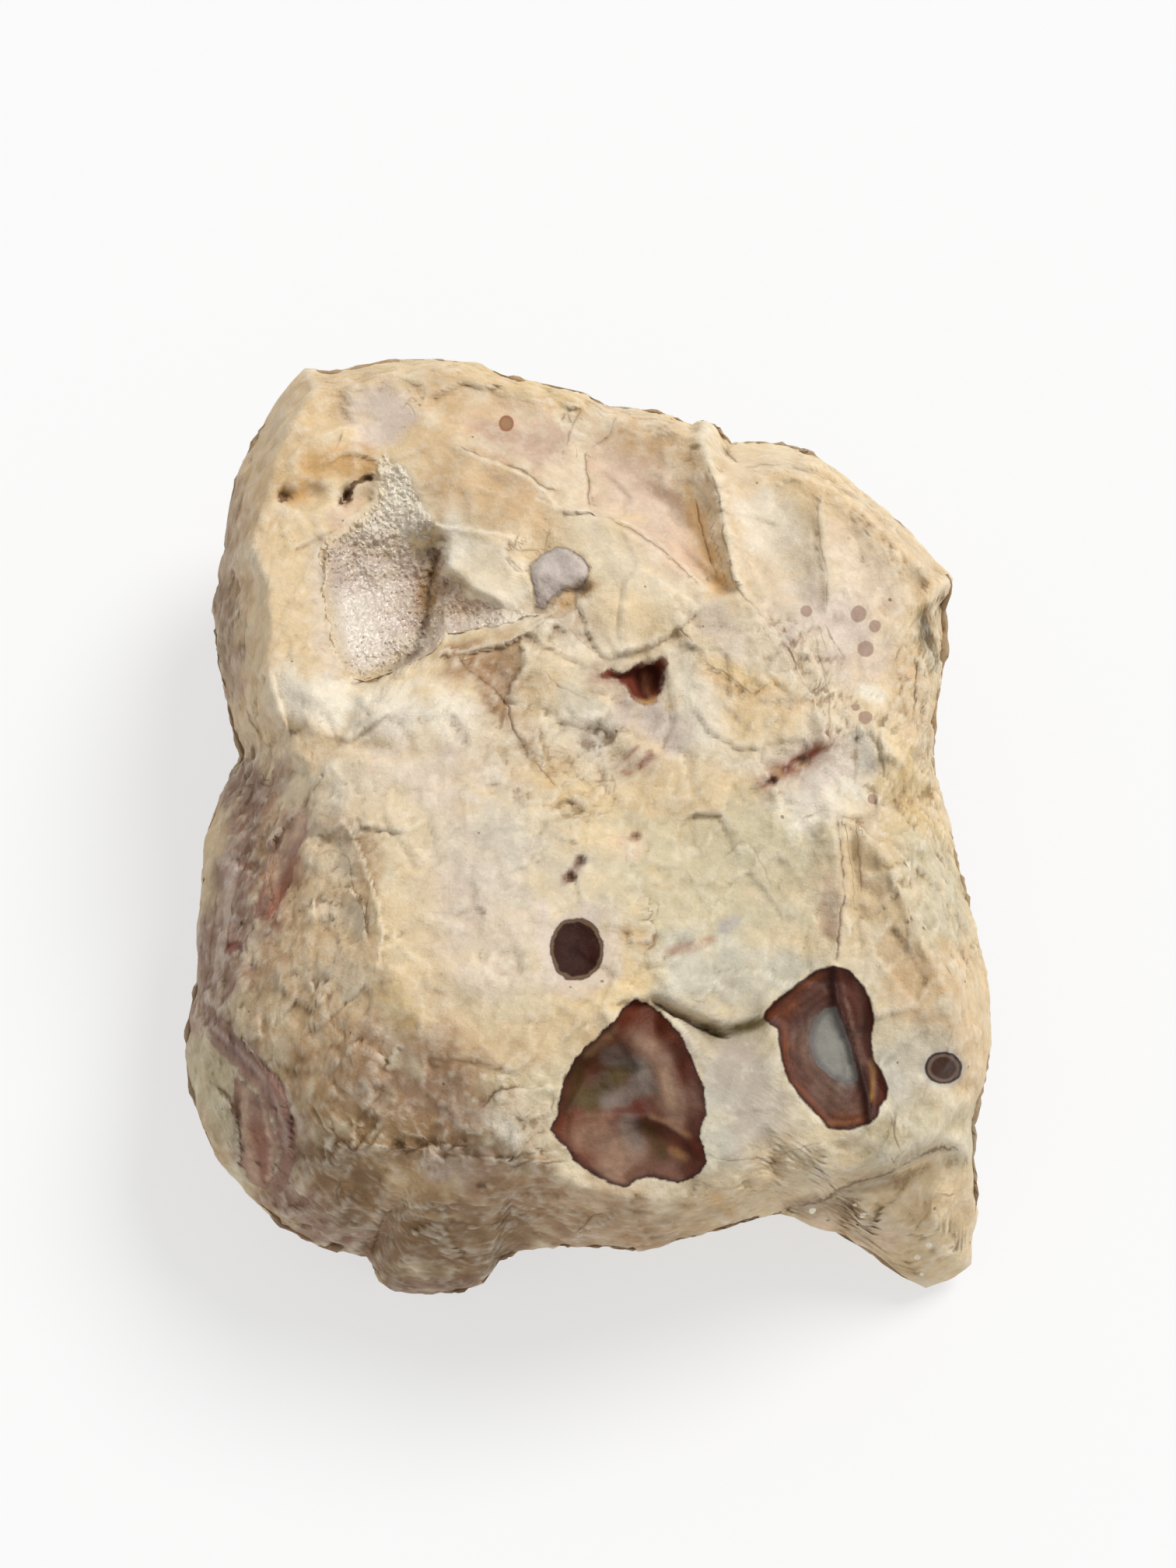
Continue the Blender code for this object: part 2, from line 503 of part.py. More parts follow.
def crystal_places():
    """Uneven places for the crystals, at least half a step inside the druse's edge."""
    columns = np.array([c for c, _ in DRUSE_EDGE])
    rows = np.array([r for _, r in DRUSE_EDGE])
    lift = CRYSTAL_STEP * math.sqrt(3) / 2
    found = []
    for i, row in enumerate(np.arange(rows.min(), rows.max(), lift)):
        for column in np.arange(columns.min() + (i % 2) * CRYSTAL_STEP / 2, columns.max(), CRYSTAL_STEP):
            shake = noise.noise_vector(Vector((column * 0.37, row * 0.37, 2.0))) * CRYSTAL_STEP * 0.8
            found.append((column + shake.x, row + shake.y))
    column, row = np.array(found).T
    inside = depth_inside(DRUSE_EDGE, column, row) > CRYSTAL_STEP
    return [(c, r) for c, r, keep in zip(column, row, inside) if keep]


def inset_edge(steps=2):
    """The druse's edge drawn a little smaller, with points between its corners."""
    middle_column = sum(c for c, _ in DRUSE_EDGE) / len(DRUSE_EDGE)
    middle_row = sum(r for _, r in DRUSE_EDGE) / len(DRUSE_EDGE)
    edge = []
    for (ax, ay), (bx, by) in zip(DRUSE_EDGE, DRUSE_EDGE[1:] + DRUSE_EDGE[:1]):
        for k in range(steps):
            column, row = ax + (bx - ax) * k / steps, ay + (by - ay) * k / steps
            away = math.hypot(column - middle_column, row - middle_row)
            pull = 1 - 5 / away
            edge.append(
                (middle_column + (column - middle_column) * pull, middle_row + (row - middle_row) * pull)
            )
    return edge


def build_druse(collection, face, bed):
    """A crust that fills the bed: its underside follows the stone, and its top is crystal points."""
    edge = inset_edge()
    loop = [(i, (i + 1) % len(edge)) for i in range(len(edge))]
    places = [Vector(place) for place in edge + crystal_places()]
    corners, _, faces, _, _, _ = delaunay_2d_cdt(places, loop, [], 0, 1e-6, True)
    column, row = np.array([p[:] for p in corners]).T
    middles = np.array(faces)
    inside = depth_inside(edge, column[middles].mean(axis=1), row[middles].mean(axis=1)) > 0
    faces = [face_corners for face_corners, keep in zip(faces, inside) if keep]
    crust = bmesh.new()
    place = crust.verts.layers.int.new("place")
    floor = on_sight_line(column, row, read_grid(bed, column, row) + CRUST_GAP)
    low = [crust.verts.new(p) for p in floor]
    for index, vertex in enumerate(low):
        vertex[place] = index
    for face_corners in faces:
        crust.faces.new([low[i] for i in face_corners])
    raised = bmesh.ops.extrude_face_region(crust, geom=crust.faces[:], use_keep_orig=True)["geom"]
    top_verts = [g for g in raised if isinstance(g, bmesh.types.BMVert)]
    top_faces = [g for g in raised if isinstance(g, bmesh.types.BMFace)]
    for vertex in top_verts:
        c, r = column[vertex[place]], row[vertex[place]]
        height = float(read_grid(face, c, r)) + CRUST_RISE
        height += CRYSTAL_RISE * 0.5 * noise.noise(Vector((c * 0.21, r * 0.21, 5.0)))
        vertex.co = on_sight_line(c, r, height)
    for spike in bmesh.ops.poke(crust, faces=top_faces)["verts"]:
        sharpness = 0.6 + 1.2 * noise.noise(spike.co * 900)
        spike.co.z += CRYSTAL_RISE * sharpness
    bmesh.ops.recalc_face_normals(crust, faces=crust.faces[:])
    if crust.calc_volume(signed=True) < 0:
        bmesh.ops.reverse_faces(crust, faces=crust.faces[:])
    quartz = material("druzy_quartz", (0.62, 0.54, 0.46), 0.3)
    return new_object("druse_crust", crust, collection, quartz)


def main():
    for old in list(bpy.data.objects):
        bpy.data.objects.remove(old)
    collection = bpy.data.collections.new("ocean_jasper")
    bpy.context.scene.collection.children.link(collection)
    face, bed = face_heights()
    build_stone(collection, bed)
    build_druse(collection, face, bed)


main()
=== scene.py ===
# %% [markdown]
# # A rough piece of ocean jasper
#
# Ocean jasper is a chalcedony that grew in cavities of old lava. This piece is cream, ochre and
# milky, about 104 mm across, and broken all round. Its face has scallop-shaped breaks, two dark
# banded nodules, a few round orbs and a hollow lined with sugary quartz.
#
# The lesson rebuilds it from named lines and places instead of sculpting it by hand. A stone has no
# plan to follow, so its form is written down as it looks from one standpoint: this crest runs from
# here to there, and stands so high above the table.

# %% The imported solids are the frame
import math

import bmesh
import bpy
import numpy as np
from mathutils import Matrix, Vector
from mathutils.geometry import delaunay_2d_cdt


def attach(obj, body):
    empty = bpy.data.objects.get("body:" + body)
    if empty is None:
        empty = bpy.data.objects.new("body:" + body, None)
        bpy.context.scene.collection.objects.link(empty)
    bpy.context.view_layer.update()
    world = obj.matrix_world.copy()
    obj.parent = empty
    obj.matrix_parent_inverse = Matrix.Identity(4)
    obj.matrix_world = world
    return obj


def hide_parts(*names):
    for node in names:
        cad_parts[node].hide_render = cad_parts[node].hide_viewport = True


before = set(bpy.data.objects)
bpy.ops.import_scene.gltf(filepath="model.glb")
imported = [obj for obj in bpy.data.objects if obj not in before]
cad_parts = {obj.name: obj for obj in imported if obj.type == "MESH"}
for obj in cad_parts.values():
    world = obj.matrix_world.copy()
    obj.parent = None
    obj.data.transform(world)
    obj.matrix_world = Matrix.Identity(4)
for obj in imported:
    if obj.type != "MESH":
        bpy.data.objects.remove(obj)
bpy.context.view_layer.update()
print("solids:", sorted(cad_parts))

# %% [markdown]
# ## The standpoint
#
# The stone lies on a table and is seen from 62 degrees above it, over its front edge. Every place
# on the face is a column and a row of that view and a height above the table. The camera stands at
# the same point, so what is placed by its look in the view lands where it belongs on the stone.

# %% The camera and the way from the view to the stone
STONE_WIDTH = 0.108
EYE_ANGLE = math.radians(62)
EYE_DISTANCE = 0.42
AIM_HEIGHT = 0.025
BOX_CENTRE = (-0.0002, 0.0006)
FRAME_COLUMNS, FRAME_ROWS = 1512, 2016
LEFT_COLUMN, RIGHT_COLUMN = 237, 1275
AIM_COLUMN, AIM_ROW = FRAME_COLUMNS / 2, FRAME_ROWS / 2
HUB_COLUMN, HUB_ROW = 756, 1080
SCALE = STONE_WIDTH / (RIGHT_COLUMN - LEFT_COLUMN)
MM = 0.001


def on_sight_line(column, row, height):
    """The points at these heights (in metres) that the eye sees at these places of the view."""
    right = (np.asarray(column, float) - AIM_COLUMN) * SCALE
    up = (AIM_ROW - np.asarray(row, float)) * SCALE
    sine, cosine = math.sin(EYE_ANGLE), math.cos(EYE_ANGLE)
    eye_y, eye_z = -EYE_DISTANCE * cosine, AIM_HEIGHT + EYE_DISTANCE * sine
    along_y = up * sine + EYE_DISTANCE * cosine
    along_z = up * cosine - EYE_DISTANCE * sine
    reach = (eye_z - height) / -along_z
    x = right * reach - BOX_CENTRE[0]
    y = eye_y + along_y * reach - BOX_CENTRE[1]
    return np.stack([x, y, np.broadcast_to(height, np.shape(x))], axis=-1)


def stand_camera():
    """The camera at the standpoint, aimed at the stone."""
    lens = bpy.data.cameras.new("camera")
    lens.sensor_width = 36
    lens.lens = lens.sensor_width * EYE_DISTANCE / (FRAME_ROWS * SCALE)
    lens.clip_start = 0.01
    camera = bpy.data.objects.new("camera", lens)
    back = Vector((0, -math.cos(EYE_ANGLE), math.sin(EYE_ANGLE)))
    aim = Vector((-BOX_CENTRE[0], -BOX_CENTRE[1], AIM_HEIGHT))
    camera.location = aim + back * EYE_DISTANCE
    camera.rotation_euler = (math.pi / 2 - EYE_ANGLE, 0, 0)
    bpy.context.scene.collection.objects.link(camera)
    bpy.context.scene.camera = camera
    return camera


camera = stand_camera()
print("camera lens:", round(camera.data.lens, 1), "mm")

# %% [markdown]
# ## The outline
#
# The stone's edge against the white ground, clockwise from its top left corner. The third number
# is the height at which the sight line only just touches the stone.

# %% The outline
OUTLINE = (
    (396, 471, 38), (425, 476, 37), (452, 470, 37), (497, 461, 36), (560, 459, 35), (612, 465, 35),
    (650, 481, 35), (700, 491, 34), (750, 502, 33), (780, 521, 32), (850, 527, 32), (893, 545, 33),
    (902, 536, 35), (922, 545, 35), (940, 568, 31), (972, 565, 28), (1015, 570, 27), (1048, 582, 27),
    (1085, 612, 29), (1125, 645, 30), (1170, 680, 30), (1200, 722, 31), (1222, 738, 32),
    (1226, 755, 31), (1214, 772, 28), (1217, 810, 25), (1212, 860, 24), (1203, 915, 24),
    (1199, 960, 22), (1205, 1015, 23), (1222, 1060, 25), (1232, 1110, 26), (1248, 1165, 26),
    (1262, 1225, 26), (1273, 1290, 25), (1274, 1345, 24), (1264, 1400, 24), (1252, 1440, 23),
    (1252, 1490, 20), (1257, 1560, 12), (1248, 1590, 9), (1249, 1622, 6), (1225, 1642, 4),
    (1190, 1652, 4), (1160, 1640, 5), (1130, 1615, 8), (1075, 1582, 13), (1040, 1572, 16),
    (1008, 1556, 22), (960, 1568, 23), (910, 1583, 23), (860, 1595, 22), (820, 1606, 20),
    (780, 1601, 20), (720, 1600, 18), (670, 1604, 14), (640, 1620, 8), (625, 1645, 4),
    (595, 1658, 2), (550, 1662, 2), (505, 1658, 2), (485, 1640, 4), (474, 1612, 8), (450, 1608, 12),
    (415, 1603, 14), (360, 1573, 17), (310, 1522, 19), (270, 1470, 21), (246, 1405, 22),
    (237, 1350, 22), (242, 1305, 22), (256, 1250, 22), (258, 1180, 23), (260, 1130, 23),
    (264, 1075, 23), (278, 1035, 23), (297, 1000, 22), (308, 970, 22), (300, 940, 22),
    (290, 890, 23), (278, 830, 24), (276, 790, 24), (282, 740, 25), (290, 700, 26), (294, 650, 27),
    (303, 610, 29), (325, 565, 31), (350, 525, 34), (375, 490, 36),
)
print("outline points:", len(OUTLINE))

# %% [markdown]
# ## Crests, creases and facets
#
# A broken stone is flat facets that meet at lines. So the lines are set down first: along a crest
# or a crease the form bends, and between two lines it stays nearly flat. Single spots hold the
# height in the middle of the wide facets.

# %% The lines along which the face bends
CREASES = {
    "left_crest": ((404, 500, 43), (372, 545, 43), (352, 590, 42), (335, 650, 41), (322, 700, 41),
                   (342, 750, 42), (348, 800, 42), (345, 860, 42), (350, 910, 41), (372, 948, 39)),
    "top_crest": ((440, 492, 42), (500, 478, 41), (560, 475, 40.5), (620, 482, 41), (680, 500, 41),
                  (740, 517, 39.5), (790, 535, 39), (850, 540, 39.5), (888, 560, 40.5)),
    "hollow_side": ((405, 610, 41.5), (396, 660, 41), (400, 705, 41), (413, 760, 41), (420, 820, 41),
                    (440, 868, 41)),
    "hollow_crease": ((560, 702, 37), (553, 740, 35.8), (548, 780, 35.6), (547, 820, 35.8),
                      (525, 846, 36), (490, 862, 36.8), (455, 872, 38.5)),
    "hollow_lip": ((460, 888, 42), (500, 872, 42.5), (560, 842, 42), (600, 833, 41.5),
                   (640, 818, 40.5)),
    "slab": ((575, 684, 41), (640, 694, 42), (662, 726, 41.5), (690, 782, 39.5)),
    "long_facet_top": ((590, 562, 43.5), (640, 587, 43), (690, 605, 42.5), (718, 642, 42)),
    "long_facet_foot": ((540, 664, 42.5), (600, 670, 42), (655, 676, 42)),
    "pillow_crest": ((720, 656, 42), (770, 662, 43), (810, 682, 43), (850, 705, 43), (905, 756, 42)),
    "scallop_foot": ((760, 646, 38.5), (812, 667, 38), (855, 692, 38.5), (908, 742, 38.5)),
    "groove": ((882, 632, 39.8), (900, 690, 39.6), (925, 748, 40)),
    "long_rib": ((903, 560, 42), (922, 612, 43), (930, 665, 43), (940, 712, 43), (955, 765, 42.5),
                 (985, 803, 42), (1015, 850, 42), (1045, 897, 42), (1066, 950, 41.5)),
    "rear_rim": ((945, 608, 40), (1000, 602, 40), (1052, 612, 40.5), (1095, 640, 40.5),
                 (1140, 680, 40), (1185, 722, 39.5), (1206, 758, 36)),
    "scallop_rib": ((1056, 640, 42), (1063, 700, 42), (1068, 760, 41.5), (1060, 795, 41)),
    "pillow_foot": ((752, 782, 41), (782, 836, 40.5), (838, 826, 40), (872, 806, 40.5),
                    (903, 774, 41)),
    "roll_foot": ((372, 962, 40), (438, 957, 42), (520, 965, 43.5), (600, 975, 43)),
    "terrace_edge": ((402, 1004, 42), (424, 978, 44), (468, 974, 45)),
    "shoulder": ((445, 1040, 45), (476, 1100, 46), (486, 1180, 46), (500, 1250, 46), (535, 1310, 45.5),
                 (590, 1370, 44.5), (640, 1412, 43)),
    "band_edge": ((388, 1050, 40.5), (372, 1130, 38.5), (350, 1190, 37.5), (308, 1240, 35.5),
                  (300, 1290, 34), (312, 1340, 33.5), (350, 1392, 33), (380, 1440, 32),
                  (400, 1500, 30)),
    "front_crest": ((440, 1482, 35), (500, 1472, 38), (560, 1466, 39.5), (640, 1468, 40.5),
                    (700, 1500, 40), (752, 1528, 38), (830, 1545, 36.5), (910, 1540, 35),
                    (1000, 1522, 34), (1100, 1500, 33.5), (1160, 1480, 33.5), (1205, 1455, 33)),
    "lobe_root": ((1020, 1556, 19), (1060, 1548, 21), (1110, 1528, 22), (1165, 1508, 23),
                  (1210, 1486, 25), (1244, 1476, 25)),
    "basin_lip": ((842, 1276, 42), (885, 1296, 41), (930, 1314, 40.5), (985, 1302, 40)),
    "crack_floor": ((846, 1289, 39), (890, 1310, 38), (932, 1328, 37.5), (984, 1314, 38)),
    "fold": ((1070, 1048, 41.5), (1086, 1150, 41.5), (1076, 1236, 40.5)),
    "fold_groove": ((1094, 1062, 39.5), (1100, 1130, 39.5), (1098, 1200, 39.5)),
    "right_crest": ((1112, 1078, 42), (1146, 1110, 42.5), (1180, 1190, 41.5), (1222, 1280, 39),
                    (1232, 1340, 37)),
    "flap": ((866, 1312, 41), (915, 1352, 40), (960, 1400, 39)),
}
print("creases:", len(CREASES))

# %% [markdown]
# ## The middles of the facets
#
# Between two lines the face would sag straight from one to the other. A few single heights in the
# wide facets hold it up, or let it dip, as it does on the stone.

# %% Single places between those lines
SPOTS = (
    (300, 720, 33), (298, 780, 32), (300, 850, 31), (310, 920, 29), (430, 530, 41.5), (470, 530, 40.5),
    (500, 560, 41), (540, 530, 41.5), (600, 525, 42), (650, 540, 41), (700, 535, 40.5), (650, 562, 41.5),
    (700, 580, 40.5), (450, 560, 42), (460, 600, 42), (380, 600, 42.5), (500, 610, 42), (520, 650, 41),
    (600, 620, 43), (660, 635, 42.5), (690, 660, 42), (440, 690, 40.2), (480, 690, 40),
    (520, 690, 39.8), (440, 770, 38.2), (444, 830, 38.4), (480, 760, 37.2), (488, 828, 37.2),
    (522, 740, 36.4), (525, 800, 36), (575, 728, 41), (572, 790, 38.2), (604, 750, 40.9), (615, 725, 41.6),
    (620, 792, 39.4), (648, 774, 40.8),
    (660, 770, 40.5), (735, 560, 39.5), (732, 610, 40.5), (742, 645, 40.5), (775, 590, 38),
    (770, 625, 38), (800, 560, 39), (850, 570, 39), (820, 615, 37.5), (860, 650, 37.5),
    (880, 700, 39), (915, 728, 40.2), (907, 645, 40.6), (965, 640, 40), (990, 690, 39), (965, 745, 39.5),
    (1025, 760, 40), (1030, 690, 40.5), (1000, 640, 39.5), (1100, 690, 39.5), (1120, 745, 39),
    (1090, 800, 39.5), (1150, 800, 38.5), (1160, 740, 39), (1190, 800, 36.5), (1190, 880, 36),
    (1180, 940, 36), (970, 592, 35), (1020, 592, 35), (800, 740, 43), (850, 770, 42), (770, 720, 42.5),
    (870, 775, 41.5), (700, 700, 41), (735, 735, 41.5), (700, 795, 41.5), (760, 850, 40.5),
    (790, 880, 38), (868, 860, 39.5), (832, 915, 38.5), (700, 850, 41.5), (720, 920, 40.5),
    (640, 865, 40), (652, 905, 39), (400, 890, 43.5), (480, 915, 45), (560, 890, 44.5), (600, 925, 44),
    (640, 940, 42.5), (400, 930, 42.5), (740, 950, 39.5), (780, 965, 38.5), (690, 985, 41.5),
    (400, 980, 41), (600, 1040, 45.5), (540, 1010, 45), (600, 1150, 46.5), (600, 1260, 46.5),
    (700, 1050, 44), (700, 1150, 45.5), (700, 1290, 45.5), (790, 1180, 44.5), (800, 1100, 43),
    (850, 1040, 41.5), (640, 1350, 45), (770, 1290, 44.5), (800, 1250, 44), (410, 1080, 42),
    (412, 1160, 42), (400, 1250, 40.5), (420, 1330, 40), (450, 1400, 39.5), (400, 1400, 36.5),
    (520, 1410, 41), (600, 1440, 41.5), (330, 1050, 33), (310, 1120, 31.5), (285, 1190, 30),
    (268, 1290, 28), (266, 1360, 27), (300, 1420, 27.5), (322, 1480, 26), (362, 1530, 24),
    (350, 1000, 34), (440, 1540, 26), (500, 1550, 27), (560, 1545, 29), (640, 1540, 31), (560, 1600, 17),
    (520, 1630, 9), (590, 1630, 9), (500, 1600, 14), (620, 1600, 15), (700, 1560, 28), (760, 1575, 28),
    (850, 1575, 29), (930, 1562, 29), (900, 1090, 40.5), (980, 1100, 39.5), (1040, 1090, 40),
    (900, 1190, 41), (980, 1190, 40), (1050, 1180, 39.5), (880, 1250, 41.5), (950, 1288, 40),
    (1020, 1258, 39.5), (900, 1000, 41), (960, 1020, 40.5), (1070, 1000, 39.5), (1040, 965, 40.5),
    (1000, 950, 41.5), (950, 900, 42), (900, 940, 41.5), (1000, 870, 42.5), (940, 820, 42),
    (900, 860, 41), (1090, 850, 39.5), (1110, 920, 39.5), (1060, 1020, 40.5), (1110, 990, 39),
    (1130, 1040, 40), (1160, 980, 38.5), (1190, 1080, 38.5), (1210, 1160, 37), (1240, 1240, 34),
    (1252, 1330, 32), (1200, 1385, 36), (1150, 1330, 38.5), (1130, 1250, 39.5), (1230, 1420, 32),
    (980, 1370, 38.5), (985, 1440, 38), (1020, 1480, 38), (920, 1490, 39), (840, 1350, 41),
    (1150, 1420, 37), (1090, 1460, 37), (1150, 1540, 19), (1200, 1540, 20), (1200, 1600, 12),
    (1120, 1570, 16), (1235, 1530, 18),
)
print("spots:", len(SPOTS))

# %% [markdown]
# ## Hollows
#
# The vugs and eyes are younger than the stone around them: silica ran into round cavities, or left
# them open. They are dents in the finished face, so they are kept apart from the facets: a place, a
# half width, a half height and a depth.

# %% The dents
PITS = {
    "left_eye": (366, 634, 12, 11, 1.4),
    "left_eye_trail": (396, 640, 24, 18, 1.3),
    "right_eye": (456, 622, 30, 36, 1.5),
    "right_eye_hole": (443, 637, 7, 13, 1.4),
    "right_eye_far_hole": (474, 613, 8, 5, 1.0),
    "behind_the_flake": (748, 758, 14, 12, 1.4),
    "red_vug_heart": (834, 874, 18, 22, 2.2),
    "grey_vug": (762, 950, 26, 18, 1.3),
    "grey_vug_low": (792, 972, 18, 12, 1.0),
    "side_vug": (1194, 812, 10, 32, 2.2),
    "side_vug_low": (1203, 850, 7, 16, 1.0),
    "red_seam_heart": (992, 1003, 7, 6, 1.2),
    "red_seam_end": (1030, 975, 8, 6, 1.0),
    "orb": (740, 1218, 34, 40, 0.9),
    "small_orb": (1213, 1371, 20, 18, 0.4),
    "left_nodule_bowl": (782, 1384, 44, 40, 1.4),
    "left_nodule_bowl_low": (828, 1460, 26, 20, 0.9),
    "twin_vug_upper": (745, 1105, 7, 7, 0.9),
    "twin_vug_lower": (733, 1125, 6, 6, 0.8),
    "ring_vug": (818, 1073, 6, 6, 0.6),
    "pin_pit": (463, 1337, 5, 5, 0.7),
    "knob_pit": (935, 577, 5, 6, 1.0),
    "side_gouge": (368, 1112, 18, 62, 1.8),
    "scallop_left": (440, 1170, 34, 44, 0.9),
    "notch": (318, 968, 18, 16, 1.6),
}
print("dents:", len(PITS))

# %% [markdown]
# ## Inlays
#
# The two nodules, the flake and the red vugs have an edge that is as sharp as a cut. Each is an
# outline with its own depth below the face, the width of its shoulder, the darkness of its rim and
# its gloss. The mesh stores how far each point is inside such an outline, and the material draws the
# edge where that value is zero, so the edge is finer than the mesh.

# %% The outlines
LEFT_NODULE = (
    (817, 1281), (838, 1290), (858, 1309), (875, 1330), (887, 1354), (898, 1378), (906, 1399),
    (908, 1427), (903, 1446), (900, 1462), (905, 1478), (909, 1491), (897, 1510), (874, 1520),
    (858, 1515), (839, 1510), (820, 1513), (804, 1525), (785, 1520), (763, 1507), (741, 1494),
    (728, 1475), (706, 1450), (716, 1432), (718, 1418), (721, 1402), (725, 1386), (737, 1360),
    (753, 1344), (768, 1330), (782, 1319), (790, 1308), (798, 1296),
)
RIGHT_NODULE = (
    (1071, 1239), (1092, 1245), (1110, 1265), (1122, 1289), (1124, 1310), (1120, 1334),
    (1122, 1358), (1134, 1376), (1142, 1398), (1140, 1412), (1132, 1419), (1128, 1433),
    (1118, 1444), (1092, 1450), (1064, 1450), (1053, 1433), (1032, 1412), (1014, 1388),
    (1005, 1364), (1002, 1340), (1002, 1319), (984, 1310), (984, 1300), (999, 1284), (1023, 1265),
    (1047, 1248),
)
FLAKE = (
    (680, 725), (694, 711), (716, 702), (735, 706), (749, 717), (758, 728), (756, 739), (744, 753),
    (724, 757), (707, 771), (698, 780), (690, 777), (686, 753), (682, 739),
)
RED_VUG = (
    (770, 868), (784, 858), (800, 862), (815, 852), (838, 850), (850, 837), (856, 846), (853, 870),
    (851, 890), (840, 902), (826, 904), (812, 893), (804, 880), (790, 872),
)
SIDE_SPOT = ((289, 1208), (301, 1205), (317, 1209), (312, 1219), (300, 1225), (290, 1221))
ARC_BAND = (
    (258, 1290), (280, 1300), (306, 1332), (336, 1362), (362, 1392), (378, 1436), (380, 1490),
    (364, 1528), (350, 1536), (358, 1490), (352, 1440), (334, 1404), (304, 1372), (274, 1342),
)
RED_BLOCK = (
    (300, 1382), (326, 1400), (346, 1420), (356, 1462), (352, 1504), (340, 1532), (322, 1520),
    (310, 1490), (308, 1450), (298, 1416),
)
PINK_BAND = (
    (382, 1044), (393, 1026), (390, 1072), (380, 1116), (366, 1154), (348, 1182), (326, 1178),
    (330, 1150), (342, 1112), (350, 1078), (364, 1056),
)
DRUSE_EDGE = (
    (492, 578), (520, 596), (538, 620), (560, 660), (572, 700), (572, 730), (604, 758), (655, 776),
    (692, 790), (650, 808), (575, 814), (556, 838), (520, 858), (470, 876), (440, 868), (422, 820),
    (412, 760), (406, 706), (428, 684), (462, 664), (484, 636), (482, 604),
)
EYE_HOLE = ((435, 648), (438, 635), (446, 626), (454, 624), (453, 634), (446, 645))
EYE_SLIT = ((452, 620), (464, 612), (479, 607), (478, 615), (464, 620))
EYE_NOTCH = ((352, 639), (360, 629), (369, 634), (375, 642), (362, 644))
RIGHT_CORE = (
    (1060, 1294), (1075, 1291), (1084, 1314), (1093, 1338), (1101, 1364), (1105, 1388), (1090, 1393),
    (1070, 1386), (1052, 1370), (1043, 1352), (1040, 1334), (1045, 1312),
)
INLAYS = (
    (LEFT_NODULE, 1.1, 24, 0.5, 0.62), (RIGHT_NODULE, 0.7, 10, 0.7, 0.75),
    (FLAKE, -0.7, 5, 0.35, 0.3), (RED_VUG, 1.6, 12, 0.22, 0.2),
    (SIDE_SPOT, 0.8, 6, 0.1, 0.1), (ARC_BAND, 0.3, 8, 0.15, 0.1),
    (RED_BLOCK, 0.4, 5, 0.2, 0.1), (PINK_BAND, 0.4, 5, 0.1, 0.1),
    (EYE_HOLE, 0.5, 5, 0.3, 0.0), (EYE_SLIT, 0.4, 4, 0.3, 0.0), (EYE_NOTCH, 0.5, 5, 0.3, 0.0),
)
LEFT_NODULE_RIDGE = ((742, 1436), (790, 1430), (832, 1437), (868, 1452), (884, 1470))
RIGHT_NODULE_RIDGE = ((1072, 1241), (1075, 1280), (1083, 1307), (1095, 1337), (1107, 1376),
                      (1116, 1406), (1118, 1442))
RIDGES = ((LEFT_NODULE_RIDGE, 0.5, 8), (RIGHT_NODULE_RIDGE, 1.0, 6))
print("inlays:", len(INLAYS))

# %% [markdown]
# ## Cracks
#
# A crack is narrower than the squares of the mesh, so a dent alone would break up into dots. Each
# point near a crack keeps its distance from it instead, and the material draws the dark thread where
# that distance is zero. Only the few wide cracks are sunk in the mesh as well. The tables below are
# plain text, one crack to a line, which is shorter to read than rows of brackets.

# %% The cracks: width in columns, depth in millimetres, how dark, and the way
def rows_of(table):
    """Reads a table. Each line has words and numbers, and then the places of a way as column,row."""
    rows = []
    for line in table.strip().splitlines():
        words = line.split()
        start = [w if w.isalpha() else float(w) for w in words if "," not in w]
        way = tuple(tuple(int(number) for number in w.split(",")) for w in words if "," in w)
        rows.append((*start, way))
    return tuple(rows)


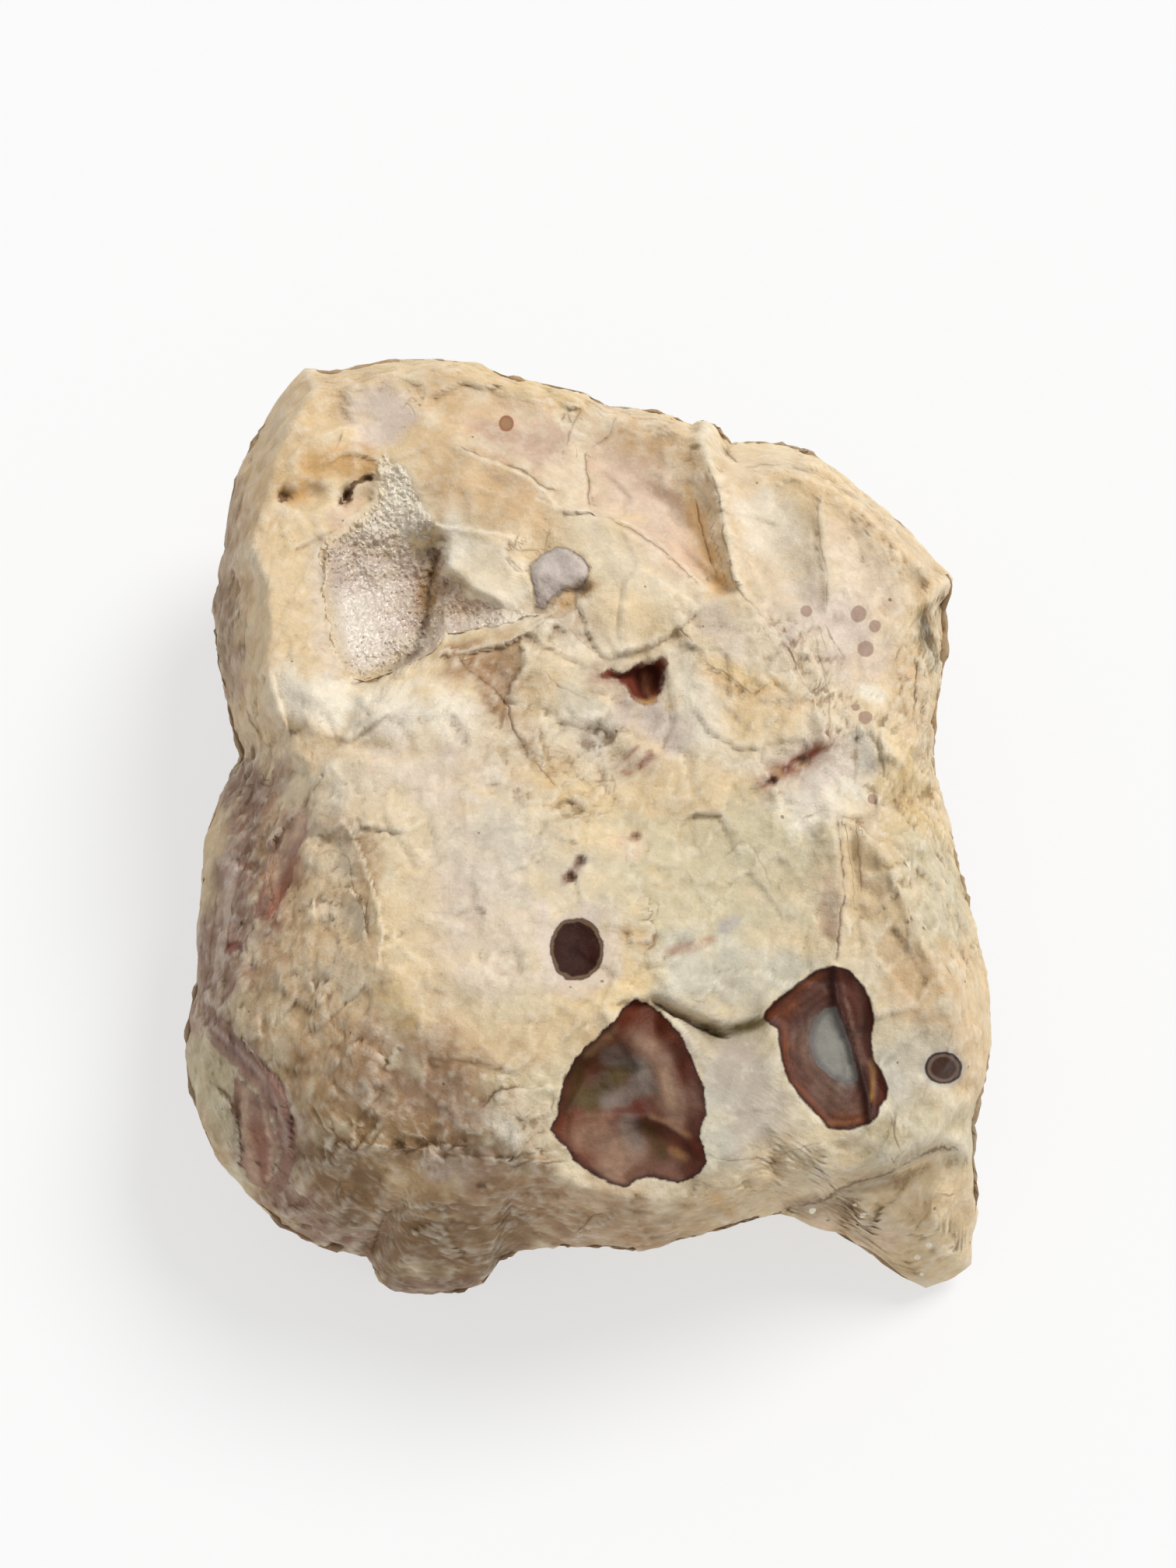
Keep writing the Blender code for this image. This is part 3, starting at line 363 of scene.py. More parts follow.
CRACKS = rows_of("""
4 1.2 1.0  840,1280 862,1297 884,1307 903,1317 930,1328
3 0.5 0.9  793,534 787,548 785,556 770,568 757,577
2 0.3 0.7  757,577 752,582 753,600 757,626 757,652
3 0.5 0.8  716,702 735,706 749,717 758,728 756,739 744,753
2 0.4 0.7  694,711 716,702
2 0.4 0.7  682,729 674,733 656,718 652,709 662,700 668,679
2 0.3 0.5  662,706 700,703 706,676
4 0.5 0.9  560,700 566,718 556,738 551,760 549,790 545,820 528,848 506,858 482,872 452,876
2 0.3 0.5  600,836 640,830 680,812 706,792
3 0.5 0.8  586,838 606,864 634,884 650,906 660,936 676,962 700,974
2 0.4 0.8  893,638 898,660 905,690 914,722 924,748
2 0.3 0.6  910,595 922,630 928,665 932,700 938,730 950,758 968,778 990,800 1010,820
3 0.5 0.9  1010,822 1020,845 1035,875 1050,892
2 0.35 0.4  1048,812 1056,850 1068,892 1066,930 1066,962
2 0.3 0.8  926,566 938,582 952,596
2 0.3 0.4  956,598 1010,594 1050,606 1092,632 1140,672
2 0.35 0.35  1056,625 1050,652 1052,684 1064,740 1062,782
2 0.3 0.7  1060,800 1072,822 1088,846
2 0.3 0.6  1147,852 1160,828
3 0.6 0.8  394,1040 386,1044 398,1020 412,1000 416,985
2 0.4 0.7  316,905 322,924 342,950 354,975 350,1010
3 0.5 0.9  456,1144 464,1158 469,1180 473,1198 470,1208
2 0.4 0.4  404,1100 426,1090 446,1100 456,1144
2 0.3 0.7  296,1040 312,1012 332,1004 352,1010
2 0.3 0.6  322,1060 318,1100 304,1130 294,1180 288,1230
2 0.3 0.6  282,1110 276,1170 268,1240 262,1290
3 0.5 0.6  284,1300 306,1334 340,1372 362,1400 372,1440 372,1490
2 0.3 0.5  340,1360 360,1390 366,1430 360,1490
2 0.4 0.6  270,1390 290,1404 304,1430 308,1470 310,1510
2 0.3 0.7  515,492 526,502 538,520 545,508 545,494
2 0.3 0.6  538,520 530,504 516,524
2 0.3 0.8  440,545 433,575
3 0.4 0.9  727,526 719,540
2 0.3 0.5  748,520 736,545 726,575
3 0.4 0.9  726,572 722,583
2 0.3 0.7  588,570 634,590 664,600 684,610 698,622 718,630
3 0.6 0.9  618,1424 634,1404 644,1398 676,1398 704,1394
3 0.6 0.9  672,1472 686,1458 702,1450
2 0.4 0.6  704,1394 712,1410 708,1432
5 0.6 0.9  428,1470 440,1462 456,1478 462,1466
5 0.6 0.9  500,1478 512,1466 522,1482 540,1470 556,1464
4 0.6 0.9  572,1480 584,1468 600,1474 596,1460
3 0.5 0.8  640,1490 660,1500 676,1492 700,1494 728,1492
2 0.4 0.7  440,1510 432,1528 440,1545
5 1.2 0.9  496,1552 488,1570 484,1588 478,1606
2 0.6 0.7  487,1506 490,1520 500,1538
2 0.4 0.8  550,1592 551,1606
2 0.4 0.7  736,1586 748,1576 762,1562 784,1556
2 0.4 0.6  738,1588 760,1594
5 1.2 0.9  1006,1556 1030,1545 1066,1535 1100,1514 1150,1500 1182,1480 1206,1470 1240,1474
2 0.35 0.5  1144,1430 1150,1452 1158,1480
3 0.5 0.85  1076,1044 1082,1100 1086,1150 1080,1180 1076,1236
2 0.4 0.5  1100,1052 1106,1110 1108,1150
2 0.4 0.5  1030,1052 1060,1040 1100,1052 1120,1072 1140,1084
2 0.25 0.3  930,1102 950,1080 964,1084 980,1110 996,1146
2 0.25 0.5  816,1160 832,1150 846,1160 844,1180
2 0.4 0.7  818,1182 834,1180 842,1192 842,1212 828,1222
2 0.3 0.35  720,1012 728,1000 760,1002 790,1000 788,1020 790,1042
2 0.3 0.35  716,1020 722,1048 760,1044 790,1042
2 0.3 0.6  672,966 690,980 706,996 718,1010
2 0.3 0.3  900,1480 940,1492 1000,1484 1060,1466
2 0.3 0.6  1212,1236 1220,1250 1226,1262
2 0.3 0.5  1240,1530 1222,1536 1206,1534
2 0.3 0.6  862,812 874,806 890,820 880,834
2 0.3 0.5  700,860 716,880 740,890 756,900
2 0.3 0.3  903,847 934,865 965,891 996,874
2 0.3 0.3  771,843 749,825 712,788 696,783
2 0.3 0.6  757,652 780,662 806,676 850,704 880,730 905,756
2 0.3 0.6  655,689 650,717 663,731 679,734
""")
print("cracks:", len(CRACKS), "with", sum(len(way) for *_, way in CRACKS), "points")

# %% [markdown]
# ## Ledges
#
# Where a flake came off, its lip stayed: one side stands higher and falls back to the face behind
# it. A crease of the facets can't show that, because it has the same height on both sides.

# %% The ledges: height in millimetres, fade in columns, and the way with the high side on its left
LEDGES = rows_of("""
0.9 26  672,690 650,684 606,676 566,672 550,660
0.7 22  722,650 700,624 684,610 634,590 588,568
0.6 16  757,652 752,600 757,577
0.8 24  720,655 770,659 806,674 848,700 880,730 905,756
0.3 14  910,600 925,645 934,700 940,735 958,766
0.25 18  1050,630 1050,684 1062,760 1060,790
0.8 20  790,842 838,828 872,808 905,776
0.8 20  430,975 404,1004 390,1040
0.7 30  560,842 600,836 650,826 690,806
0.6 18  648,905 630,884 604,862 584,838
0.7 30  1068,960 1050,895 1012,822
0.6 20  470,1204 470,1166 452,1142 424,1138
0.8 16  352,1182 344,1130 352,1080 380,1048
0.7 12  372,1492 374,1440 362,1398 338,1368 306,1330
0.6 10  310,1512 308,1460 298,1420 272,1390
0.6 16  718,1394 676,1396 644,1396 620,1424
0.7 20  600,1466 556,1470 500,1472 440,1464
0.5 20  728,1490 676,1490 640,1486
0.6 24  1150,1095 1120,1070 1092,1050 1030,1050
0.5 20  842,1212 842,1192 832,1180 806,1176
0.4 16  790,1042 760,1044 722,1048 716,1018 728,1000
0.25 20  1000,1150 980,1110 962,1082 930,1100
0.6 14  990,598 950,596 930,580
0.5 16  1140,676 1092,636 1050,610 1000,600
0.5 14  1206,800 1180,860 1176,920 1186,960
0.5 16  1170,870 1150,900 1130,940 1136,980
0.7 20  903,1356 884,1320 862,1300 838,1280
0.4 12  1010,822 1040,806 1060,800
0.5 16  396,655 420,700 414,760 424,820 440,860
0.4 12  427,600 430,584 455,580 482,587 487,610 480,640 462,655 436,667
0.5 30  740,759 749,790 756,812 768,832 782,848
0.4 16  771,843 749,825 712,788
0.4 24  681,816 715,836 751,852
0.8 24  670,819 673,852 658,878 650,902
0.5 36  852,842 860,880 868,926 856,960
0.6 20  696,782 688,760 679,734 663,731 650,717 655,689
0.3 20  903,847 934,865 965,891 996,874
0.5 20  890,905 915,940 950,960 985,958
0.7 14  473,1206 466,1167 457,1145 440,1136
0.6 24  457,1043 466,1061 501,1066 528,1070
0.6 24  488,1250 494,1190 478,1130 460,1080 440,1046
0.6 20  562,690 565,721 604,752 651,778
""")
print("ledges:", len(LEDGES))

# %% [markdown]
# ## The tools: noise, blur and distances
#
# Real breaks are uneven at every size. Two kinds of repeatable noise give that: soft clouds, for
# lumps and stains, and small tilted cells, for chips. Both are worked out from whole numbers, so
# they are the same in every run.

# %% Repeatable noise
def scramble(*whole):
    """A number from 0 to 1 for each row of whole numbers, without any visible order."""
    mixed = np.full(np.shape(whole[0]), 2166136261, np.uint32)
    for part in whole:
        mixed = (mixed ^ np.asarray(part, np.int64).astype(np.uint32)) * np.uint32(16777619)
        mixed = (mixed ^ (mixed >> np.uint32(13))) * np.uint32(2246822519)
    return ((mixed ^ (mixed >> np.uint32(16))) & np.uint32(0xFFFFFF)) / float(0x1000000)


def clouds(points, size, seed=0, layers=3):
    """Soft noise from about -1 to 1. Each layer is half as large and half as strong."""
    total, weight, weights = np.zeros(len(points)), 1.0, 0.0
    for layer in range(layers):
        scaled = points / size * 2**layer + 13.7 * layer
        cell = np.floor(scaled).astype(int)
        part = scaled - cell
        ease = part * part * (3 - 2 * part)
        for corner in np.ndindex(*(2,) * points.shape[1]):
            share = np.prod(np.where(np.array(corner, bool), ease, 1 - ease), axis=1)
            total += weight * share * (2 * scramble(*(cell + corner).T, seed + layer) - 1)
        weights += weight
        weight /= 2
    return total / weights * 1.6


def chips(points, size, seed=0):
    """Small flat breaks from about -1 to 1: each cell of an uneven pattern has a tilt of its own."""
    scaled = points / size
    cell = np.floor(scaled).astype(int)
    axes = points.shape[1]
    nearest, found = np.full(len(points), np.inf), np.zeros(len(points))
    for corner in np.ndindex(*(3,) * axes):
        around = cell + corner - 1
        centre = around + np.stack([scramble(*around.T, seed, k) for k in range(axes)], axis=1)
        away = scaled - centre
        distance = (away**2).sum(axis=1)
        tilt = np.stack([scramble(*around.T, seed, 7 + k) - 0.5 for k in range(axes)], axis=1)
        height = (away * tilt).sum(axis=1) * 1.6 + scramble(*around.T, seed, 5) - 0.5
        closer = distance < nearest
        nearest = np.where(closer, distance, nearest)
        found = np.where(closer, height, found)
    return found


def bent(points, size, seed):
    """The points pushed about a little, so that cells laid through them get curved edges."""
    push = [clouds(points, size, seed + k, 2) for k in range(points.shape[1])]
    return points + 0.3 * size * np.stack(push, axis=1)


print("noise:", clouds(np.zeros((1, 3)) + 0.3, 1.0).round(3))

# %% Smooth steps, blur and distances in the view
GRID_STEP = 2
GRID_LEFT, GRID_TOP = 180, 400
GRID_COLUMNS, GRID_ROWS = 580, 660


def soft_step(x):
    """0 below 0 and 1 above 1, smooth between."""
    x = np.clip(x, 0, 1)
    return x * x * (3 - 2 * x)


def grid_places():
    """The columns and rows of the grid that holds the face."""
    columns = GRID_LEFT + GRID_STEP * np.arange(GRID_COLUMNS)
    rows = GRID_TOP + GRID_STEP * np.arange(GRID_ROWS)
    return np.meshgrid(columns, rows)


def read_grid(values, column, row):
    """The grid's values at any places, by bilinear interpolation."""
    x = np.clip((np.asarray(column) - GRID_LEFT) / GRID_STEP, 0, GRID_COLUMNS - 1.001)
    y = np.clip((np.asarray(row) - GRID_TOP) / GRID_STEP, 0, GRID_ROWS - 1.001)
    left, top = x.astype(int), y.astype(int)
    fx, fy = x - left, y - top
    upper = values[top, left] * (1 - fx) + values[top, left + 1] * fx
    lower = values[top + 1, left] * (1 - fx) + values[top + 1, left + 1] * fx
    return upper * (1 - fy) + lower * fy


def blurred(values, columns):
    """The grid smoothed over about this many columns."""
    cells = columns / GRID_STEP
    reach = max(1, math.ceil(2.5 * cells))
    weights = np.exp(-0.5 * (np.arange(-reach, reach + 1) / cells) ** 2)
    weights /= weights.sum()
    for axis in (0, 1):
        padded = np.pad(values, [(reach, reach) if a == axis else (0, 0) for a in (0, 1)], "edge")
        size = values.shape[axis]
        shifted = (np.take(padded, np.arange(k, k + size), axis) for k in range(2 * reach + 1))
        values = sum(w * s for w, s in zip(weights, shifted))
    return values


def nearest_on_line(line, column, row, closed=False):
    """The distance to a line in columns, the nearest place on it, and a sign: above 0 on its left."""
    ends = list(zip(line, line[1:])) + ([(line[-1], line[0])] if closed else [])
    nearest = np.full(np.shape(column), np.inf)
    on_column, on_row, left = (np.zeros(np.shape(column)) for _ in range(3))
    for (ax, ay), (bx, by) in ends:
        dx, dy = bx - ax, by - ay
        length = math.hypot(dx, dy)
        t = np.clip(((column - ax) * dx + (row - ay) * dy) / length**2, 0, 1)
        x, y = ax + t * dx, ay + t * dy
        distance = np.hypot(column - x, row - y)
        across = ((column - ax) * dy - (row - ay) * dx) / length
        at_corner = (distance < nearest + 1e-6) & (np.abs(across) > np.abs(left))
        closer = (distance < nearest - 1e-6) | at_corner
        nearest = np.where(closer, distance, nearest)
        on_column, on_row = np.where(closer, x, on_column), np.where(closer, y, on_row)
        left = np.where(closer, across, left)
    return nearest, on_column, on_row, left


def depth_inside(outline, column, row):
    """How far places are inside a closed outline, in columns. Outside it is negative."""
    inside = np.zeros(np.shape(column), bool)
    for (ax, ay), (bx, by) in zip(outline, outline[1:] + outline[:1]):
        crosses = (ay > row) != (by > row)
        side = (bx - ax) * (row - ay) / (by - ay + 1e-9) + ax
        inside ^= crosses & (column < side)
    distance = nearest_on_line(outline, column, row, closed=True)[0]
    return np.where(inside, distance, -distance)


def wander(way, step=7, reach=1.5):
    """The same way with small kinks, as a crack runs in stone."""
    places = [way[0]]
    for (ax, ay), (bx, by) in zip(way, way[1:]):
        length = math.hypot(bx - ax, by - ay)
        parts = max(1, round(length / step))
        for part in range(1, parts + 1):
            x, y = ax + (bx - ax) * part / parts, ay + (by - ay) * part / parts
            if part < parts:
                shift = (2 * scramble([int(4 * x)], [int(4 * y)])[0] - 1) * reach / length
                x, y = x - (by - ay) * shift, y + (bx - ax) * shift
            places.append((x, y))
    return tuple(places)


print("grid:", GRID_COLUMNS, "by", GRID_ROWS)

# %% [markdown]
# ## Where the face is rough
#
# The scallops and the plateau broke smooth, as glass does. The left side, the right edge and the
# seams are crumbly. One map holds how rough the face is at every place, and all the fine relief and
# the stains follow it.

# %% The map of roughness
ROUGH_ZONES = rows_of("""
1.0 55  310,1000 330,1150 290,1300 330,1450 400,1560
0.9 60  420,1120 420,1300 470,1420
1.0 40  430,1480 560,1470 660,1480
0.9 60  420,1560 560,1580 680,1550
0.7 36  800,1570 950,1560
0.8 40  1100,1560 1220,1580
1.0 32  1195,780 1195,880 1190,1000 1210,1100 1240,1220
0.9 36  1150,930 1160,1060 1180,1180
1.0 45  650,920 720,970 780,960 740,1030
0.6 22  895,560 920,640 935,720 965,770
1.0 36  1000,820 1060,880 1090,960
0.8 28  1040,600 1120,660 1190,740
0.8 24  400,480 560,470 700,505 860,540
0.7 36  300,620 290,780 310,940
0.8 28  1000,990 1060,970
0.7 30  860,800 960,870 1000,900
0.9 34  640,1400 690,1450
0.8 30  560,700 550,800 500,860
0.7 36  600,850 680,830 720,760
0.8 26  820,1180 850,1230
0.6 24  600,960 660,1010 700,1060
0.5 60  400,930 520,900 600,900
0.5 40  1040,1060 1100,1150 1080,1230
0.6 40  900,1540 1040,1490 1180,1440
""")
SMOOTH_ZONES = (
    (50, ((790, 590), (840, 650), (880, 710))), (40, ((970, 640), (1000, 720), (1020, 770))),
    (34, ((560, 600), (620, 635), (680, 650))), (36, ((600, 710), (640, 750))),
    (34, ((760, 700), (830, 760))), (26, ((490, 520), (500, 560))),
    (60, ((940, 1350), (940, 1420))), (30, ((540, 540), (620, 540), (700, 545))),
)


def roughness_at(column, row):
    """How rough the face is, from about 0.2 where it broke smooth to 1 where it crumbles."""
    rough = np.full(np.shape(column), 0.4)
    for width, way in SMOOTH_ZONES:
        rough -= 0.28 * np.exp(-((nearest_on_line(way, column, row)[0] / width) ** 2))
    for level, width, way in ROUGH_ZONES:
        share = np.exp(-((nearest_on_line(way, column, row)[0] / width) ** 2))
        rough = np.maximum(rough, level * share + rough * (1 - share))
    return np.clip(rough, 0.12, 1)


rough_map = roughness_at(*grid_places())
print("roughness:", rough_map.min().round(2), "to", rough_map.max().round(2))

# %% [markdown]
# ## The face as a height field
#
# The outline, the creases and the spots are joined into triangles. A constrained Delaunay
# triangulation is the right tool, because it never lets a triangle run across a crest. Each triangle
# is then a plane of heights, and a slight blur takes the knife edge off the crests.

# %% From lines to heights
def triangle_weights(corners, column, row):
    """How much each corner counts at these places."""
    (ax, ay), (bx, by), (cx, cy) = corners
    area = (bx - ax) * (cy - ay) - (cx - ax) * (by - ay)
    second = ((column - ax) * (cy - ay) - (cx - ax) * (row - ay)) / area
    third = ((bx - ax) * (row - ay) - (column - ax) * (by - ay)) / area
    return 1 - second - third, second, third


def faceted_heights():
    """The grid of heights in millimetres: flat facets between outline, creases and spots."""
    skirt = [
        (HUB_COLUMN + (c - HUB_COLUMN) * 1.12, HUB_ROW + (r - HUB_ROW) * 1.12, h) for c, r, h in OUTLINE
    ]
    places = list(OUTLINE) + skirt + list(SPOTS)
    count = len(OUTLINE)
    edges = [(i, (i + 1) % count) for i in range(count)]
    for line in CREASES.values():
        edges += [(len(places) + i, len(places) + i + 1) for i in range(len(line) - 1)]
        places += line
    flat = [Vector((c, r)) for c, r, _ in places]
    corners, _, faces, origins, _, _ = delaunay_2d_cdt(flat, edges, [], 0, 1e-6, True)
    heights = [places[found[0]][2] for found in origins]
    column, row = grid_places()
    surface = np.zeros(column.shape)
    for face in faces:
        triangle = [tuple(corners[i]) for i in face]
        cut = tuple(
            slice(
                max(0, int((min(p[axis] for p in triangle) - start) / GRID_STEP)),
                max(0, int((max(p[axis] for p in triangle) - start) / GRID_STEP) + 2),
            )
            for axis, start in ((1, GRID_TOP), (0, GRID_LEFT))
        )
        weights = triangle_weights(triangle, column[cut], row[cut])
        within = np.min(weights, axis=0) > -1e-6
        height = sum(w * heights[i] for w, i in zip(weights, face))
        surface[cut] = np.where(within, height, surface[cut])
    return surface


def inlay_depths(column, row):
    """How far the inlays stand below the face around them, in millimetres."""
    total = np.zeros(np.shape(column))
    for outline, depth, shoulder, _, _ in INLAYS:
        total += depth * soft_step(depth_inside(outline, column, row) / shoulder)
    for ridge, rise, width in RIDGES:
        total -= rise * np.exp(-((nearest_on_line(ridge, column, row)[0] / width) ** 2))
    return total


def ledge_heights(column, row):
    """What the lips of the flakes add, in millimetres."""
    total = np.zeros(np.shape(column))
    for rise, fade, way in LEDGES:
        distance, on_column, on_row, left = nearest_on_line(wander(way), column, row)
        to_end = np.minimum(*(np.hypot(on_column - c, on_row - r) for c, r in (way[0], way[-1])))
        taper = soft_step((to_end + 3) / 14)
        total += taper * rise * np.where(left > 0, np.exp(-distance / fade), -0.25 * np.exp(-distance / 8))
    return total


def face_heights():
    """The grid of the face's heights in metres."""
    column, row = grid_places()
    view = np.stack([column.ravel(), row.ravel()], axis=1).astype(float)
    face = blurred(faceted_heights(), 3)
    open_stone = 1 - 0.95 * soft_step(depth_inside(DRUSE_EDGE, column, row) / 12)
    large = blurred(chips(view, 62, 3).reshape(column.shape), 1)
    small = blurred(chips(bent(view, 27, 21), 27, 4).reshape(column.shape), 1)
    face += open_stone * ((0.3 + 0.4 * rough_map) * large + (0.05 + 0.5 * rough_map) * small)
    face += ledge_heights(column, row) - inlay_depths(column, row)
    for left, top, half_width, half_height, depth in PITS.values():
        reach = ((column - left) / half_width) ** 2 + ((row - top) / half_height) ** 2
        face -= depth * np.exp(-(reach**1.6))
    return face * MM


face = face_heights()
print("face heights:", round(face.min() * 1000, 1), "to", round(face.max() * 1000, 1), "mm")

# %% [markdown]
# ## Closing the form
#
# The face is only half of the stone. The other half is hidden from the standpoint, so it is a
# guess: below the outline the stone turns under, the back is steep, and a few flakes have come
# off. It ends in the flat spot on which the real stone lies still.

# %% The hidden side
ROUNDING = 14
ROUNDING_DROP = 2.2 * MM
BELLY = 1.8 * MM
FLAT_CUT = 0.5 * MM
BREAKS = (
    (74, -6, 3.5), (116, 2, 3.5), (35, -14, 3.0), (150, -16, 3.5), (183, -38, 3.5), (214, -26, 3.0),
    (2, -38, 3.5), (-30, -46, 3.0), (92, -46, 2.0), (-95, -52, 2.5), (58, -50, 1.5), (128, -52, 2.0),
)


def rim_radius(angle):
    """The outline's distance from the hub, in columns, and its height in metres, at these angles."""
    column, row, height = np.array(OUTLINE, float).T
    found = np.arctan2(HUB_ROW - row, column - HUB_COLUMN)
    order = np.argsort(found)
    distance = np.hypot(column - HUB_COLUMN, row - HUB_ROW)[order]
    return (
        np.interp(angle, found[order], distance, period=2 * math.pi),
        np.interp(angle, found[order], height[order] * MM, period=2 * math.pi),
    )


def place_on_spoke(share, angle, back):
    """The view's column and row: near the hub the spokes pass over the outline's notches."""
    radius, _ = rim_radius(angle)
    broad = np.mean([rim_radius(angle + turn)[0] for turn in np.linspace(-0.5, 0.5, 11)], axis=0)
    reach = share * (broad + (radius - broad) * np.where(back, 1, share**2))
    return HUB_COLUMN + reach * np.cos(angle), HUB_ROW - reach * np.sin(angle)


def underside(share, angle, rim_height):
    """Heights of the hidden side: it turns under the rim and falls to the flat resting spot."""
    reach = 0.43 + 0.06 * np.sin(angle) + 0.05 * np.sin(3 * angle + 0.8)
    inward = np.clip((1 - share) / reach, 0, 1)
    return (rim_height - ROUNDING_DROP) * (1 - inward) ** 1.9 + BELLY * share**2


def break_off(points, depth_in):
    """Flat breaks: each takes a flake off the hidden points that face its way."""
    for facing, tilt, depth in BREAKS:
        facing, tilt = math.radians(facing), math.radians(tilt)
        level = math.cos(tilt)
        way = np.array([math.cos(facing) * level, math.sin(facing) * level, math.sin(tilt)])
        reach = points @ way
        excess = np.maximum(reach - (reach[depth_in > 0.3].max() - depth * MM), 0) * depth_in
        points = points - excess[:, None] * way
    return points


def surface_points(column, row, share, angle, back):
    """Points of the stone at places of the view, on the face or on the back."""
    radius, rim_height = rim_radius(angle)
    inset = np.clip((radius - np.hypot(column - HUB_COLUMN, row - HUB_ROW)) / ROUNDING, 0, 1)
    turn = ROUNDING_DROP * (1 - np.sqrt(1 - (1 - inset) ** 2))
    front = read_grid(face, column, row) - turn
    behind = np.where(share > 0.999, rim_height - ROUNDING_DROP, underside(share, angle, rim_height))
    return on_sight_line(column, row, np.where(back, np.minimum(behind, front), front))


print("breaks:", len(BREAKS))

# %% [markdown]
# ## A skin of even squares
#
# A grid pressed out of the view would be torn at the steep walls. A cube whose sides are cut into
# squares and blown up to the stone has no poles and no seams. A table along each spoke, from the
# middle of the face over the rim to the middle of the back, spreads the squares by true length,
# and gives the hidden side only a third of the points that the face gets. Near the hub the spokes
# ignore the notches of the outline, so that the squares don't shear beside the lobe and the foot.

# %% The skin
CUBE_CUTS = 127
BACK_SHARE = 0.30


def even_spacing(rings=160, spokes=360):
    """A table that spreads points over the skin, from the middle of the face to that of the back."""
    share = np.sin(np.linspace(0, math.pi / 2, rings))
    share = np.concatenate([share, share[-2::-1]])
    back = np.arange(len(share)) >= rings
    angle = np.linspace(-math.pi, math.pi, spokes, endpoint=False)[:, None]
    column, row = place_on_spoke(share, angle, back)
    points = surface_points(column, row, share[None, :], angle, back[None, :])
    step = np.linalg.norm(np.diff(points, axis=1), axis=2)
    area = step * ((share[1:] + share[:-1]) / 2 + 0.01) * np.where(back[1:], BACK_SHARE, 1)
    area = sum(np.roll(area, k, axis=0) for k in range(-12, 13)) / 25
    total = np.concatenate([np.zeros((spokes, 1)), np.cumsum(area, axis=1)], axis=1)
    return share, back, total / total[:, -1:]


def skin_places(skin):
    """Share, angle, side, column and row of every point of the blown-up cube."""
    cube = np.array([v.co[:] for v in skin.verts])
    ball = np.tan(cube * math.pi / 4)
    ball /= np.linalg.norm(ball, axis=1, keepdims=True)
    angle = np.arctan2(ball[:, 1], ball[:, 0])
    shares, _, table = even_spacing()
    steps = np.arange(len(shares))
    spoke = (angle + math.pi) / (2 * math.pi) * len(table)
    low = np.floor(spoke).astype(int) % len(table)
    depth = (1 - ball[:, 2]) / 2
    step = np.empty(len(depth))
    for index in range(len(table)):
        mine = np.nonzero(low == index)[0]
        part = spoke[mine] % 1
        here = np.interp(depth[mine], table[index], steps)
        after = np.interp(depth[mine], table[(index + 1) % len(table)], steps)
        step[mine] = here * (1 - part) + after * part
    share, back = np.interp(step, steps, shares), step > (len(shares) - 1) / 2
    column, row = place_on_spoke(share, angle, back)
    return share, angle, back, column, row


def neighbour_mean(values, ends):
    """The mean of every point's neighbours, along the mesh's edges."""
    first, second = ends.T
    count = np.bincount(ends.ravel(), minlength=len(values))
    sums = [
        np.bincount(first, v[second], len(v)) + np.bincount(second, v[first], len(v))
        for v in values.reshape(len(values), -1).T
    ]
    return (np.stack(sums, axis=1) / count[:, None]).reshape(values.shape)


skin = bmesh.new()
bmesh.ops.create_cube(skin, size=2)
bmesh.ops.subdivide_edges(skin, edges=skin.edges[:], cuts=CUBE_CUTS, use_grid_fill=True)
skin.verts.index_update()
ends = np.array([(edge.verts[0].index, edge.verts[1].index) for edge in skin.edges])
share, angle, back, column, row = skin_places(skin)
print("skin points:", len(share), "of which on the face", int((~back).sum()))

# %% [markdown]
# ## Cracks on the skin
#
# The distance keeps a sign, below zero on one side of the crack. A value that runs through zero can
# be blended between two mesh points, so the line comes out thin and even.

# %% How far every point is from a crack, and on which side of it
BESIDE = 12
crack_depth, crack_side, crack_shade = (np.zeros(len(column)) for _ in range(3))
nearest_crack = np.full(len(column), np.inf)
for width, depth, shade, way in CRACKS:
    way = wander(way)
    distance, on_column, on_row, left = nearest_on_line(way, column, row)
    to_end = np.minimum(*(np.hypot(on_column - c, on_row - r) for c, r in (way[0], way[-1])))
    closer = (distance < nearest_crack) & ~back
    nearest_crack = np.where(closer, distance, nearest_crack)
    crack_side = np.where(closer, np.clip(np.sign(left) * distance / width, -8, 8), crack_side)
    fading = shade * soft_step((to_end + 1) / 12) * (distance < BESIDE)
    crack_shade = np.where(closer, fading, crack_shade)
    if width > 3:
        crack_depth = np.maximum(crack_depth, ~back * depth * MM * np.exp(-((distance / width) ** 2)))
print("points beside a crack:", int((crack_shade > 0).sum()))

# %% [markdown]
# ## The points in space
#
# The skin is first laid on the facets. Then lumps, seams and small breaks push it out and in along
# its own normals, more where the map says rough, and hardly at all in the polished nodules.

# %% The points in space, with their roughness
points = surface_points(column, row, share, angle, back)
points = break_off(points, np.where(back, soft_step((1 - share) / 0.32), 0))
for vertex, point in zip(skin.verts, points):
    vertex.co = point
skin.normal_update()
normals = np.array([v.normal[:] for v in skin.verts])

